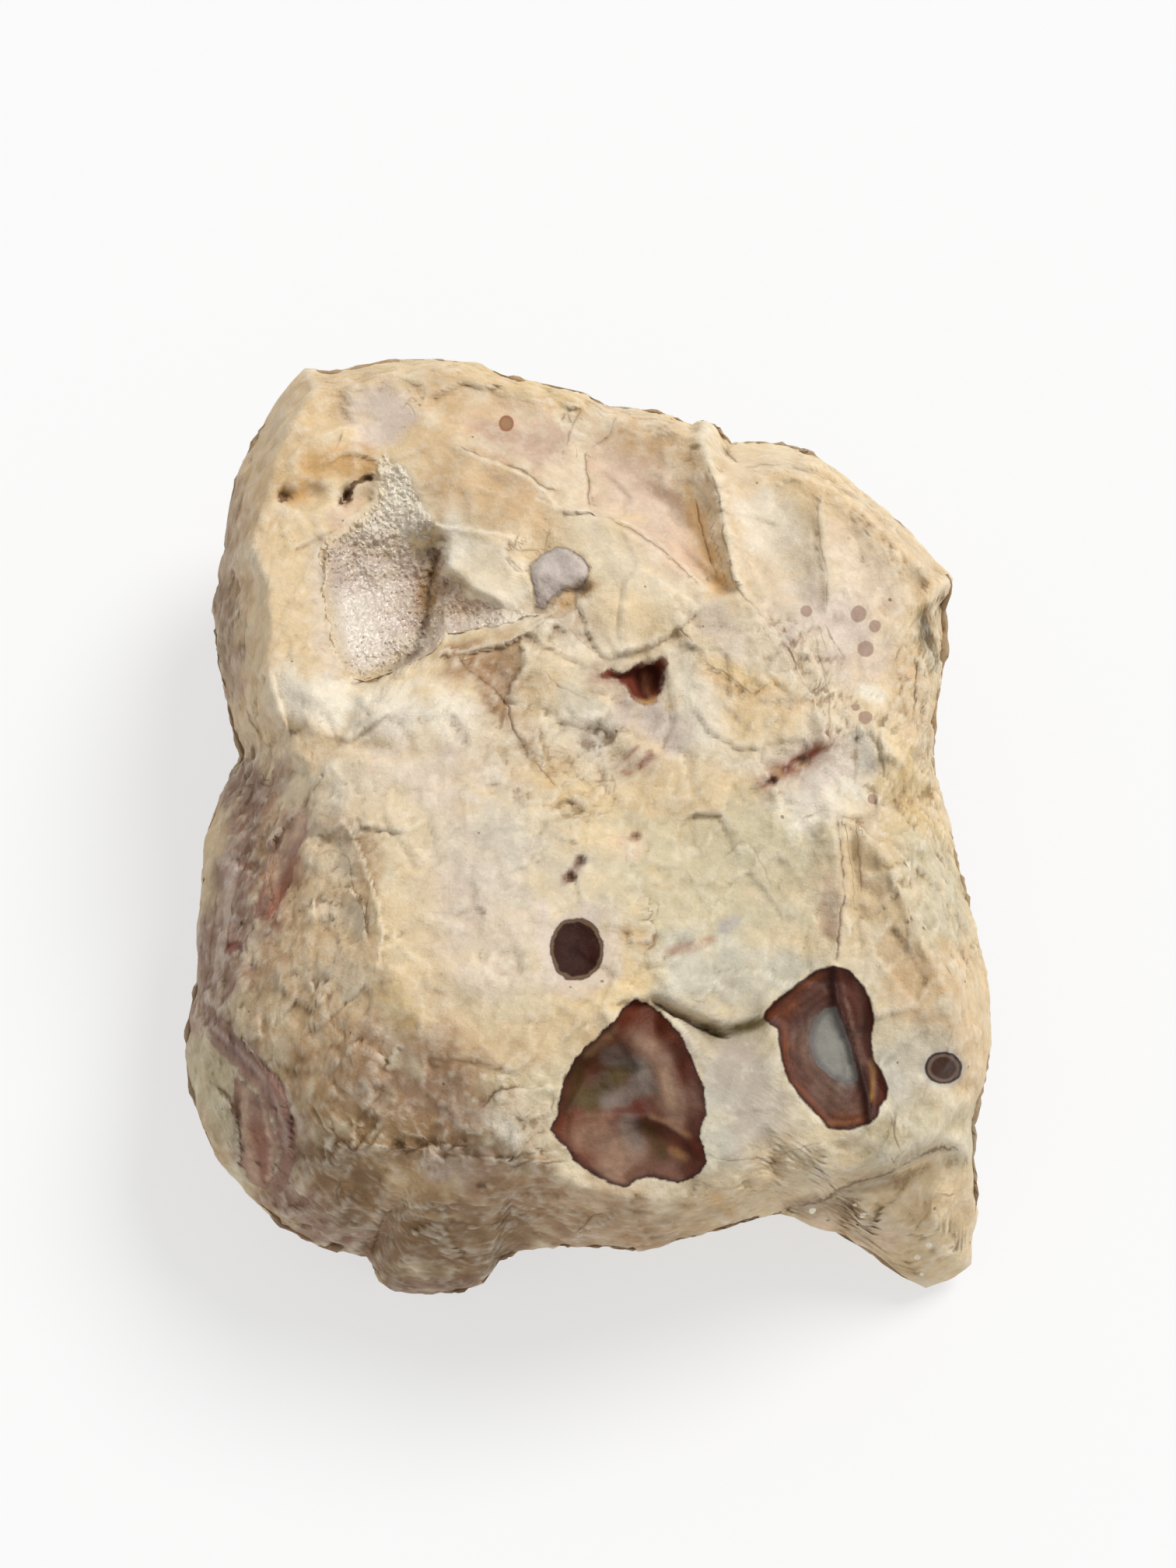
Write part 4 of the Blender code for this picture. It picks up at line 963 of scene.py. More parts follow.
rough = np.where(back, 0.8, read_grid(rough_map, column, row))
inlay_edge, rim_dark, polish = np.full(len(column), -60.0), np.zeros(len(column)), np.zeros(len(column))
for outline, _, _, dark, gloss in INLAYS:
    inside = depth_inside(outline, column, row)
    nearer = inside > inlay_edge
    inlay_edge = np.where(nearer, inside, inlay_edge)
    rim_dark, polish = np.where(nearer, dark, rim_dark), np.where(nearer, gloss, polish)
inlay_edge = np.where(back, -60, np.clip(inlay_edge, -60, 60))
calm = 1 - 0.8 * polish * soft_step(inlay_edge / 4)
frayed_edge = depth_inside(DRUSE_EDGE, column, row) + 7 * clouds(points, 2.5 * MM, 44, 3)
in_druse = soft_step((frayed_edge - 5) / 6) * ~back

lumps = (0.1 + 0.26 * rough) * clouds(points, 8 * MM, 11) + 0.24 * rough * clouds(points, 3.2 * MM, 12)
seams = 0.22 * rough * (0.5 - np.abs(clouds(points, 4 * MM, 17)))
broken = 0.42 * chips(bent(points, 5.5 * MM, 22), 5.5 * MM, 13)
broken += 0.30 * chips(bent(points, 2.4 * MM, 23), 2.4 * MM, 14)
hidden = 0.9 * chips(points, 21 * MM, 15) + 0.5 * chips(points, 10 * MM, 16)
hidden *= soft_step((1 - share) / 0.12) * back
relief = (lumps + seams + broken * rough) * calm + hidden
points = points + normals * (relief * MM)[:, None]
points[:, 2] -= crack_depth + in_druse * 0.9 * MM
points[:, 2] = np.maximum(points[:, 2] - FLAT_CUT, 0)
for vertex, point in zip(skin.verts, points):
    vertex.co = point
skin.normal_update()
normals = np.array([v.normal[:] for v in skin.verts])
print("height of the skin:", round(points[:, 2].max() * 1000, 1), "mm")

# %% [markdown]
# ## Painted shade and stain in the hollows, painted highlight on the edges
#
# On a real stone the fine creases hold brown iron stain and the edges are bruised white. Here the
# brown in the hollows is painted shade as well as that stain, and the white on the edges is a painted
# highlight as well as that bruising. Both follow one measure: where the neighbours of a point lie
# above it, it is in a hollow. The same measure over a wider ring finds the broad hollows.

# %% How hollow the stone is at every point
def hollowness(rounds):
    """How deep every point lies below its surroundings, in millimetres."""
    smoothed = points
    for _ in range(rounds):
        smoothed = neighbour_mean(smoothed, ends)
    return ((smoothed - points) * normals).sum(axis=1) / MM


fine_hollow, broad_hollow = hollowness(2), hollowness(24)
print("hollows:", fine_hollow.std().round(3), broad_hollow.std().round(3), "mm")

# %% [markdown]
# ## Pigments
#
# The stone's colour comes from traces of iron and manganese in the silica. Each pigment below is a
# colour as it shows on a screen, and the helper turns it into the linear value that a shader needs.

# %% The pigments
def linear(*screen):
    """Screen values from 0 to 255 as linear light."""
    value = np.array(screen, float) / 255
    return np.where(value <= 0.04045, value / 12.92, ((value + 0.055) / 1.055) ** 2.4)


PIGMENTS = {
    "cream": linear(224, 200, 159),
    "milk": linear(220, 202, 173),
    "white": linear(235, 225, 205),
    "lavender": linear(211, 194, 181),
    "sand": linear(218, 187, 144),
    "gold": linear(222, 187, 122),
    "ochre": linear(205, 160, 100),
    "pink": linear(221, 191, 163),
    "tan": linear(188, 154, 114),
    "clay": linear(166, 130, 95),
    "umber": linear(134, 104, 72),
    "bark": linear(92, 66, 43),
    "mauve": linear(166, 134, 117),
    "plum": linear(124, 88, 78),
    "rust": linear(152, 90, 60),
    "red": linear(120, 58, 40),
    "maroon": linear(66, 32, 27),
    "olive": linear(112, 98, 56),
    "sage": linear(200, 188, 156),
    "ice": linear(194, 191, 176),
    "grey": linear(172, 164, 157),
    "dark": linear(50, 35, 26),
}
print("pigments:", ", ".join(PIGMENTS))

# %% [markdown]
# ## Laying the colour on
#
# Most colours lie in stains and bands that follow how the silica seeped in. Some strokes are painted
# light: white highlights on facets and edges, and umber shade on the foot, on the front wall and under
# the flake, each over the stone's own stain. They are laid on as a painter would: broad washes first,
# then streaks and spots. Every stroke is a pigment, a strength, a width and a way, and noise frays its
# edge so that no stroke looks drawn.

# %% The washes and streaks
# Painted highlight over pale stone: the white streaks on the slab, the pillow, the roll, the central rib and
# the shoulder's edge, and the cream along the shoulder's crest, stand in for light on them
# Painted shade over brown stain: the umber, plum and clay on the foot and on the front wall below the front
# crest darken the sides that face away from the light
# Painted shadow over ochre stain: the ochre and umber just below the flake's raised lower edge
STROKES = rows_of("""
sand 0.75 70  330,620 380,560 420,500
sand 0.7 55  370,700 375,800 380,900
cream 0.6 40  400,640 385,720 400,860
sand 0.5 60  420,930 560,890
cream 0.7 45  470,905 600,880 640,850
sand 0.9 46  545,560 610,620 680,650
tan 0.45 36  560,640 650,650
gold 0.6 20  600,480 680,500 740,515
sand 0.9 40  560,505 640,525
tan 0.3 30  570,510 640,530
lavender 0.85 30  485,520 490,548 510,530
pink 0.7 40  650,545 700,560
mauve 0.5 26  640,558 690,574 715,562
milk 0.8 26  735,600 738,640
pink 0.95 58  790,590 840,640 880,700
clay 0.25 40  780,575 840,600
lavender 0.35 34  800,620 850,670
sand 0.85 22  800,553 860,558 890,590
clay 0.35 12  800,556 850,566
ochre 0.85 13  886,628 903,690 926,750
cream 0.85 12  905,575 922,620 934,690 950,750
pink 0.5 34  955,640 985,700 1010,750
sand 0.7 22  950,600 1020,605 1080,640
milk 0.8 40  985,660 1020,730
pink 0.6 40  1090,700 1130,760
sand 0.7 28  1110,670 1160,710 1195,760
milk 0.6 24  960,590 1020,588
lavender 0.8 36  1040,790 1100,810 1120,850
sand 0.7 26  1170,850 1160,900 1180,930
cream 0.9 42  760,720 810,760 850,790
white 0.4 30  770,690 800,730 870,770
white 1.0 34  590,702 620,730 655,762
cream 0.5 22  610,720 650,750
milk 0.6 30  700,800 750,850
milk 0.8 26  920,790 950,830
lavender 0.5 20  915,800 940,826
gold 0.7 14  905,850 950,870 1000,880
ochre 0.7 7  900,862 930,876 960,888 1000,892
white 0.5 36  900,940 960,950 1000,940
sand 0.6 30  940,900 1010,905
gold 0.35 30  960,930 1000,930
clay 0.85 24  605,848 640,860 655,890
tan 0.7 22  600,845 660,830
mauve 0.3 20  735,775 752,815
white 0.6 34  880,860 892,900 880,940
white 0.4 14  868,850 880,890 876,930
white 0.5 12  700,796 720,815 745,840
white 0.5 14  430,986 440,1040 462,1066 500,1080 520,1100
cream 0.8 20  470,1090 492,1150 496,1220
white 0.9 34  380,890 470,915 590,915
white 0.6 34  980,660 1010,720
white 0.3 40  1100,710 1130,740
tan 0.2 60  850,1010 900,1060
cream 0.7 36  690,890 730,870
clay 0.95 32  608,858 640,885
ice 0.6 28  740,900 770,920
lavender 0.85 22  840,925 860,940
clay 0.4 20  660,940 700,990
gold 0.4 30  690,1000 740,1030
grey 0.6 20  748,940 770,965
lavender 0.85 90  560,1040 620,1120 600,1200
cream 0.7 50  500,1060 520,1150 540,1260
sand 0.6 40  490,1260 560,1300 620,1340
gold 0.6 26  490,1270 520,1310
milk 0.5 60  640,1200 680,1260
sage 0.35 60  560,1050 640,1080
ice 0.35 60  660,1080 720,1110
milk 0.5 60  760,1230 800,1260
gold 0.5 28  780,1240 820,1260 740,1290
sand 0.5 34  600,1370 700,1330 760,1300
sage 0.85 70  860,1110 930,1100 1000,1120
sage 0.6 60  860,1170 960,1180
ice 0.75 44  880,1240 940,1260 1000,1250
sage 0.7 40  980,1060 1040,1080
sage 0.9 70  950,1350 960,1420 930,1470
ice 0.6 40  940,1380 960,1440
grey 0.65 60  940,1340 965,1450
clay 0.2 60  940,1340 965,1450
ice 0.6 26  905,1420 915,1480
white 1.0 40  1060,990 1085,1010 1040,1025
lavender 0.6 28  1040,1000 1100,970
ice 0.7 16  1110,955 1122,980
gold 0.6 36  1160,1000 1180,1060
olive 0.18 34  1160,1000 1190,1080
sage 0.8 44  1180,1110 1200,1200
sand 0.6 36  1120,1110 1150,1200 1180,1290
tan 0.5 50  1180,1260 1220,1330 1200,1410
sand 0.6 24  1240,1230 1262,1320 1250,1400
ice 0.6 36  1150,1380 1170,1420 1180,1350
grey 0.5 16  1142,1370 1160,1400 1150,1430
sage 0.7 40  1100,1480 1160,1450 1210,1430
sage 0.8 34  1000,1500 1080,1490 1130,1480
tan 0.35 34  1000,1500 1090,1480
sand 0.5 34  900,1545 1000,1530
tan 0.7 34  720,1540 820,1575 900,1575
clay 0.7 40  690,1560 760,1585 820,1595
sand 0.9 60  400,1130 420,1240 440,1340
tan 0.6 60  380,1260 400,1340 460,1400
milk 0.7 16  400,1108 446,1116
milk 0.75 18  410,1160 452,1180
milk 0.6 26  392,1246 450,1256
clay 0.5 18  420,1060 462,1080 480,1120
olive 0.3 14  488,1254 504,1272
mauve 0.4 28  480,1330 560,1350
clay 0.85 70  430,1420 560,1430 600,1430
mauve 0.5 34  470,1400 540,1410 600,1440
clay 0.9 80  420,1530 540,1530 660,1540
gold 0.25 60  440,1440 560,1540
umber 0.3 60  440,1430 600,1440
umber 0.75 60  420,1560 520,1590 640,1590
umber 0.6 40  500,1640 600,1640
umber 0.5 50  510,1590 590,1600
plum 0.8 12  500,1650 600,1650
umber 0.6 60  490,1610 600,1615
mauve 0.5 26  560,1500 620,1490 600,1520
lavender 0.35 20  560,1505 590,1510
sand 0.9 60  1080,1560 1200,1560 1190,1620
cream 0.9 50  1120,1580 1210,1600
pink 0.45 30  1060,1570 1140,1600
sand 0.7 34  300,600 296,700 300,820 308,920
mauve 0.6 20  292,620 286,700 296,880
umber 0.6 16  284,756 286,850
mauve 0.95 44  318,1010 300,1110 286,1200 266,1300
clay 0.6 30  330,1040 350,1200 330,1300
cream 0.8 15  278,1050 266,1100 262,1160
plum 0.6 14  330,1000 318,1100 300,1190
plum 0.5 10  284,1110 272,1200 262,1290
lavender 0.5 7  300,1100 290,1180 276,1260
mauve 0.8 18  384,1056 362,1090
rust 0.65 14  376,1100 362,1140 346,1178
lavender 0.5 8  362,1074 350,1110
plum 0.5 10  352,1186 320,1206
mauve 0.6 10  390,1430 394,1490 384,1540
lavender 0.6 4  300,1330 330,1356 362,1396 386,1440 388,1500
plum 0.6 5  290,1400 300,1450 304,1490
ochre 0.8 18  404,600 430,592 458,598 478,596
pink 0.8 14  466,630 452,652 432,662
lavender 0.5 16  412,700 408,780 424,850
sage 0.8 20  268,1410 286,1450
tan 0.7 20  256,1430 276,1480
mauve 0.9 30  370,1540 440,1590
umber 0.7 34  410,1480 480,1520 440,1560
rust 0.55 6  860,1222 890,1216 912,1208
grey 0.8 6  930,1192 948,1184
pink 0.6 14  795,1082 815,1090
red 0.8 7  728,1128 746,1106
maroon 0.95 5  733,1126
maroon 0.95 6  746,1105
rust 0.8 7  818,1073
maroon 0.9 3  818,1073
ochre 0.6 12  806,1196 830,1210
olive 0.95 12  908,1320 950,1318 984,1306
olive 0.95 13  915,1322 950,1320 980,1308
rust 0.8 8  990,1300 1004,1296
ochre 0.95 15  368,632 392,636
ochre 0.8 14  735,768 752,752
umber 0.8 7  742,766 754,750
olive 0.8 10  1190,790 1196,830 1204,850
dark 0.7 5  1190,795 1196,826
white 1.0 13  1118,890 1134,893
grey 0.5 8  1112,960 1122,985
white 0.9 14  640,1440 660,1460
milk 0.7 24  650,1415 700,1430
ochre 0.7 10  925,1545 940,1556
dark 0.45 12  1030,1552 1080,1540 1140,1512
mauve 0.55 20  985,1002 1020,988 1058,956
rust 0.8 8  980,1004 1000,992 1020,984 1040,968 1062,952
red 0.9 5  1010,988 1022,976
red 0.9 5  1036,972 1050,962
tan 0.7 4  1000,986 1006,996
tan 0.6 4  1026,984 1034,978
maroon 0.95 5  988,1002 994,1003
maroon 0.8 4  1030,975
mauve 0.5 18  805,985 830,972
rust 0.9 5  806,975 818,960
red 0.9 5  824,984 836,970
rust 0.8 5  800,990 812,994
mauve 0.6 16  768,872 790,884 812,900
red 0.5 8  776,868 800,872
lavender 0.7 22  800,915 830,925 862,935
lavender 0.6 12  700,1170 698,1250 740,1276 788,1250 788,1180 745,1158
pink 0.5 12  1062,1130 1066,1190
mauve 0.4 8  1070,1150 1068,1200
""")
print("strokes:", len(STROKES))


# %% [markdown]
# ## Chip tones, painted shade, painted highlight and weathering
#
# Over the strokes go the chips, each a little lighter or darker than the next, brown in the hollows,
# which is painted shade as well as iron stain, and white on the edges, which is a painted highlight
# as well as pale bruising. The hidden side is more weathered than the fresh face.

# %% How a stroke is laid on
def paint(base, strokes, where, fray):
    """Blends each pigment into the colour of every point near its way."""
    column, row = where
    for name, strength, width, way in strokes:
        if len(way) == 1:
            distance = np.hypot(column - way[0][0], row - way[0][1])
        else:
            distance = nearest_on_line(way, column, row)[0]
        distance = np.maximum(distance + fray * width * 0.7, 0)
        amount = (strength * np.exp(-((distance / width) ** 3)))[:, None]
        base = base * (1 - amount) + PIGMENTS[name] * amount
    return base


def mixed(first, second, amount):
    """Between the first colour, at 0, and the second, at 1."""
    amount = np.clip(amount, 0, 1)[:, None]
    return first * (1 - amount) + second * amount


def base_colour(points, row):
    """The ground colour: cream and milk, a little greener on the lower part of the face."""
    drift = clouds(points, 14 * MM, 32, 4)
    colour = mixed(PIGMENTS["cream"], PIGMENTS["milk"], soft_step(0.5 + drift))
    colour = mixed(colour, PIGMENTS["sand"], 0.35 * soft_step(clouds(points, 6 * MM, 33, 3)))
    greener = soft_step((row - 1000) / 450) * soft_step((1560 - row) / 90)
    return mixed(colour, PIGMENTS["sage"], 0.7 * greener)


where = (column, row)
fray = clouds(points, 3 * MM, 31, 3)
colour = paint(base_colour(points, row), STROKES, where, fray)
bands = soft_step(0.5 + 1.5 * clouds(points * (1, 1, 3), 12 * MM, 34, 3))
weathered = mixed(mixed(PIGMENTS["tan"], PIGMENTS["mauve"], bands), PIGMENTS["clay"], fray)
turn_under = soft_step((1 - share) / 0.2) * back
colour = mixed(colour, weathered, 0.6 * turn_under)
chip_tone = chips(bent(points, 2.4 * MM, 23), 2.4 * MM, 14) + chips(bent(points, 6 * MM, 19), 6 * MM, 19)
colour = colour * (0.97 + (0.03 + 0.06 * rough) * chip_tone)[:, None]
# Painted shade with iron stain: umber laid into the fine and broad hollows
hollow_shade_and_stain = np.clip(2.6 * fine_hollow * (0.2 + rough) + 0.3 * broad_hollow * rough, 0, 1)
# Painted highlight with pale wear: white laid on the convex edges
edge_highlight_and_wear = np.clip(-4 * fine_hollow, 0, 1)
colour = mixed(colour, PIGMENTS["umber"], 0.45 * hollow_shade_and_stain)
colour = mixed(colour, PIGMENTS["white"], 0.5 * edge_highlight_and_wear)
print("mean colour:", colour.mean(axis=0).round(2), "grime:", hollow_shade_and_stain.mean().round(2))

# %% [markdown]
# ## The colour of the nodules
#
# The nodules are agate: bands of red-brown and plum round a grey core. They get a second colour of
# their own on the same points, and the material changes from one to the other at the sharp edge.

# %% The colour inside the inlays
INLAY_STROKES = (
    ("rust", 0.55, 40, ((740, 1440), (770, 1500), (830, 1505))),
    ("mauve", 0.6, 30, ((790, 1480), (840, 1500), (870, 1500))),
    ("pink", 0.45, 26, ((760, 1450), (800, 1480), (790, 1505))),
    ("rust", 0.5, 22, ((830, 1300), (850, 1320), (820, 1330))),
    ("mauve", 0.7, 26, ((825, 1335), (845, 1370), (868, 1430), (888, 1410))),
    ("pink", 0.5, 11, ((822, 1338), (834, 1344))),
    # Painted highlight over the band's own pink: the pale streak down the left nodule's right band, where
    # its gloss catches the light
    ("pink", 0.35, 13, ((850, 1366), (858, 1390), (862, 1418), (870, 1434))),
    ("pink", 0.6, 6, ((854, 1376), (860, 1400), (864, 1420))),
    ("plum", 0.6, 12, ((890, 1380), (898, 1420), (892, 1450))),
    ("olive", 0.95, 18, ((800, 1372), (780, 1392), (756, 1408))),
    ("olive", 0.6, 12, ((745, 1376), (740, 1410), (760, 1420))),
    ("bark", 0.5, 20, ((762, 1366), (772, 1396))),
    ("bark", 0.7, 12, ((748, 1356), (736, 1384), (728, 1420))),
    ("tan", 0.5, 8, ((756, 1350), (772, 1340), (786, 1322))),
    ("grey", 0.7, 12, ((786, 1356), (806, 1358), (824, 1366), (832, 1392))),
    ("grey", 0.7, 12, ((782, 1414), (800, 1408), (818, 1398), (822, 1380))),
    ("plum", 0.5, 8, ((780, 1356), (808, 1350))),
    ("grey", 0.6, 14, ((808, 1446), (818, 1466))),
    ("olive", 0.55, 10, ((830, 1446), (844, 1466), (850, 1480))),
    ("maroon", 0.75, 4, ((833, 1436), (856, 1446), (878, 1460), (886, 1478))),
    ("tan", 0.45, 5, ((838, 1434), (860, 1442), (884, 1458))),
    ("red", 0.6, 14, ((896, 1480), (888, 1500))),
    ("ochre", 0.5, 7, ((866, 1478), (880, 1484))),
    ("maroon", 0.7, 5, LEFT_NODULE + LEFT_NODULE[:1]),
    ("plum", 0.95, 70, ((1040, 1290), (1060, 1400))),
    ("mauve", 0.5, 14, ((1030, 1330), (1040, 1375), (1070, 1415), (1100, 1425))),
    ("ice", 1.0, 19, ((1060, 1318), (1066, 1350), (1086, 1376))),
    ("grey", 0.6, 8, ((1052, 1306), (1072, 1302))),
    ("rust", 0.8, 7, ((1054, 1252), (1022, 1274), (1008, 1300), (1010, 1350), (1020, 1388),
                      (1038, 1412), (1062, 1440))),
    ("rust", 0.9, 10, ((992, 1304), (1008, 1296), (1024, 1290))),
    ("ochre", 0.6, 5, ((1062, 1442), (1090, 1440), (1114, 1436))),
    ("rust", 0.8, 10, ((1066, 1440), (1090, 1440), (1114, 1436))),
    ("maroon", 0.95, 7, RIGHT_NODULE_RIDGE),
    ("mauve", 0.6, 2.5, ((1088, 1280), (1094, 1310), (1106, 1350), (1110, 1366))),
    ("plum", 0.7, 9, ((1102, 1266), (1112, 1310), (1112, 1350))),
    ("ochre", 0.7, 4, ((1122, 1362), (1124, 1384), (1122, 1410))),
    ("red", 0.7, 8, ((1134, 1390), (1136, 1410))),
    ("maroon", 0.6, 4, RIGHT_NODULE + RIGHT_NODULE[:1]),
    ("grey", 1.0, 60, ((690, 730), (740, 730))),
    ("lavender", 0.6, 40, ((700, 750), (730, 735))),
    ("maroon", 0.8, 9, ((800, 862), (822, 858), (842, 860), (848, 878))),
    ("maroon", 0.7, 4, ((820, 866), (824, 886), (832, 898))),
    ("rust", 0.8, 5, ((828, 864), (834, 880), (840, 894))),
    ("tan", 0.5, 2, ((826, 866), (832, 884), (838, 896))),
    ("ochre", 0.7, 4, ((818, 900), (834, 903), (846, 898))),
    ("rust", 0.5, 4, ((826, 868), (832, 888))),
    ("umber", 1.0, 40, ((360, 636), (480, 612))), ("dark", 0.8, 5, ((440, 642), (449, 630))),
    ("red", 0.95, 12, ((294, 1215), (304, 1214))),
    ("plum", 0.7, 6, ((310, 1212), (316, 1210))),
    ("mauve", 1.0, 70, ((280, 1310), (350, 1400), (370, 1520))),
    ("rust", 0.35, 30, ((325, 1415), (345, 1500))),
    ("lavender", 0.5, 4, ((264, 1306), (300, 1346), (332, 1378), (356, 1414), (366, 1470))),
    ("plum", 0.6, 4, ((270, 1322), (306, 1356), (344, 1396), (360, 1450), (360, 1510))),
    ("plum", 0.6, 4, ((274, 1302), (322, 1352), (366, 1404), (376, 1470))),
    ("mauve", 1.0, 26, ((322, 1410), (334, 1460), (336, 1520))),
    ("rust", 0.5, 16, ((330, 1450), (336, 1520))),
    ("pink", 0.5, 8, ((314, 1400), (316, 1460), (328, 1520))),
    ("pink", 0.6, 3, ((340, 1424), (350, 1470), (344, 1516))),
    ("mauve", 1.0, 40, ((386, 1040), (350, 1180))),
    ("rust", 0.6, 10, ((378, 1110), (364, 1144), (346, 1176))),
    ("pink", 0.8, 11, ((384, 1046), (364, 1080), (352, 1120))),
    ("clay", 0.5, 5, ((352, 1110), (344, 1150))),
)
inlay_colour = paint(np.zeros_like(colour) + PIGMENTS["red"], INLAY_STROKES, where, fray * 0.5)
in_nodule = np.maximum(depth_inside(LEFT_NODULE, column, row), depth_inside(RIGHT_NODULE, column, row)) > -8
inlay_colour = inlay_colour * (np.where(in_nodule, 0.53, 1.05) + 0.08 * chip_tone)[:, None]
inlay_colour = inlay_colour * np.where(in_nodule, 0.9, 1.0)[:, None] ** np.array([0, 1, 2])
core_edge = np.where(back, -30, np.clip(depth_inside(RIGHT_CORE, column, row), -30, 30))
print("points in inlays:", int((inlay_edge > 0).sum()))

# %% [markdown]
# ## The stone as one mesh
#
# Everything worked out so far is stored on the points, where any material can read it by name.
# That needs no image and no unwrapping, and stays sharp from every side.

# %% The mesh and its stored values
def store(mesh, name, values):
    """Keeps a value or a colour for every point of the mesh, for the material to read."""
    if values.ndim == 1:
        made = mesh.attributes.new(name, "FLOAT", "POINT")
        made.data.foreach_set("value", values.astype(np.float32))
    else:
        made = mesh.attributes.new(name, "FLOAT_VECTOR", "POINT")
        made.data.foreach_set("vector", values.astype(np.float32).ravel())


def new_object(name, skin):
    """Turns finished geometry into an object of the scene."""
    mesh = bpy.data.meshes.new(name)
    skin.to_mesh(mesh)
    skin.free()
    made = bpy.data.objects.new(name, mesh)
    bpy.context.scene.collection.objects.link(made)
    return made


stone = new_object("jasper_stone", skin)
stone.data.shade_smooth()
for name, values in (
    ("paint", colour), ("inlay_paint", inlay_colour), ("inlay_edge", inlay_edge), ("rim_dark", rim_dark),
    ("polish", polish), ("crack_side", crack_side), ("crack_shade", crack_shade), ("rough", 0.65 * rough),
    ("hollow_shade_and_stain", hollow_shade_and_stain), ("core_edge", core_edge), ("view_place", np.stack([column, row, back * 1.0], axis=1)),
):
    store(stone.data, name, values)
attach(stone, "root")
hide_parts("stone")
print("stone triangles:", len(stone.data.polygons) * 2)

# %% [markdown]
# ## The finish of the stone
#
# Chalcedony is a mass of fine quartz fibres, so a broken face is waxy: light goes in a little and
# comes out again, and the gloss is soft. The nodules broke cleaner, and shine. The shader reads
# the laid-on colours, adds the grain that is finer than the mesh, and draws the round orbs, whose
# edges have to be crisp.

# %% A short way to write shader nodes
class Bench:
    """Makes and links the nodes of one material."""

    def __init__(self, name):
        self.material = bpy.data.materials.new(name)
        self.material.use_nodes = True
        self.tree = self.material.node_tree
        self.shader = self.tree.nodes["Principled BSDF"]

    def put(self, kind, *inputs, **settings):
        node = self.tree.nodes.new("ShaderNode" + kind)
        for key, value in settings.items():
            setattr(node, key, value)
        for socket, value in zip(node.inputs, inputs):
            self.feed(socket, value)
        return node.outputs[0]

    def feed(self, socket, value):
        if isinstance(value, bpy.types.NodeSocket):
            self.tree.links.new(value, socket)
        elif value is not None:
            socket.default_value = value

    def math(self, operation, *inputs):
        return self.put("Math", *inputs, operation=operation)

    def stored(self, name, output="Fac"):
        node = self.tree.nodes.new("ShaderNodeAttribute")
        node.attribute_name = name
        return node.outputs[output]

    def ramp(self, value, low, high):
        """0 at low and 1 at high, smooth between. With high below low it falls instead."""
        node = self.tree.nodes.new("ShaderNodeMapRange")
        node.interpolation_type = "SMOOTHSTEP"
        self.feed(node.inputs["Value"], value)
        node.inputs["From Min"].default_value = min(low, high)
        node.inputs["From Max"].default_value = max(low, high)
        node.inputs["To Min"].default_value = 0.0 if low < high else 1.0
        node.inputs["To Max"].default_value = 1.0 if low < high else 0.0
        return node.outputs["Result"]

    def noise(self, where, scale, detail=4.0, roughness=0.55, output="Fac"):
        node = self.tree.nodes.new("ShaderNodeTexNoise")
        self.feed(node.inputs["Vector"], where)
        node.inputs["Scale"].default_value = scale
        node.inputs["Detail"].default_value = detail
        node.inputs["Roughness"].default_value = roughness
        return node.outputs[output]

    def cells(self, where, scale):
        node = self.tree.nodes.new("ShaderNodeTexVoronoi")
        self.feed(node.inputs["Vector"], where)
        node.inputs["Scale"].default_value = scale
        return node

    def mix(self, amount, first, second, blend="MIX"):
        node = self.tree.nodes.new("ShaderNodeMix")
        node.data_type = "RGBA"
        node.blend_type = blend
        self.feed(node.inputs["Factor"], amount)
        self.feed(node.inputs[6], first)
        self.feed(node.inputs[7], second)
        return node.outputs[2]

    def toned(self, colour, tone):
        """The colour made lighter or darker by a tone around 1."""
        return self.mix(1.0, colour, self.put("CombineColor", tone, tone, tone), "MULTIPLY")

    def measure(self, operation, *inputs):
        """A number from one or two vectors, such as a length or a dot product."""
        self.put("VectorMath", *inputs, operation=operation)
        return self.tree.nodes[-1].outputs["Value"]

    def flakes(self, where, scale):
        """Small flat breaks: each cell of an uneven pattern leans its own way. Gives height and tone."""
        cell = self.cells(where, scale)
        away = self.put("VectorMath", where, cell.outputs["Position"], operation="SUBTRACT")
        lean = self.put("VectorMath", cell.outputs["Color"], (0.5, 0.5, 0.5), operation="SUBTRACT")
        tone = self.put("SeparateColor", cell.outputs["Color"])
        step = self.math("MULTIPLY", tone, 0.4)
        return self.math("MULTIPLY_ADD", self.measure("DOT_PRODUCT", away, lean), 2.0 * scale, step), tone

    def warped(self, where, scale, amount):
        """Coordinates pushed about by noise, so that cells read through them get ragged edges."""
        push = self.noise(where, scale, 3, output="Color")
        centred = self.put("VectorMath", push, (0.5, 0.5, 0.5), operation="SUBTRACT")
        sized = self.put("VectorMath", centred, (amount, amount, amount), operation="MULTIPLY")
        return self.put("VectorMath", where, sized, operation="ADD")


def flat_colour(name, factor=1.0):
    """A pigment as a shader colour, darker or lighter by a factor."""
    return (*(PIGMENTS[name] * factor), 1.0)


print("bench ready")

# %% [markdown]
# ## Orbs
#
# The round eyes are balls of agate cut by the break, so they show as rings. A texture's own rings
# would lie anywhere. These are drawn from their true places, as rings of distance from a centre.

# %% The orbs: place, half width and half height in columns
DARK_ORB = (741, 1218, 35, 41)
SMALL_ORB = (1213, 1371, 24, 21)
BROWN_ORB = (651, 541, 9, 10)
GREY_ORBS = (
    (1037, 783, 8), (1104, 787, 11), (1125, 803, 8), (1113, 832, 11), (1100, 908, 6), (1112, 922, 9),
    (1122, 1025, 7),
)
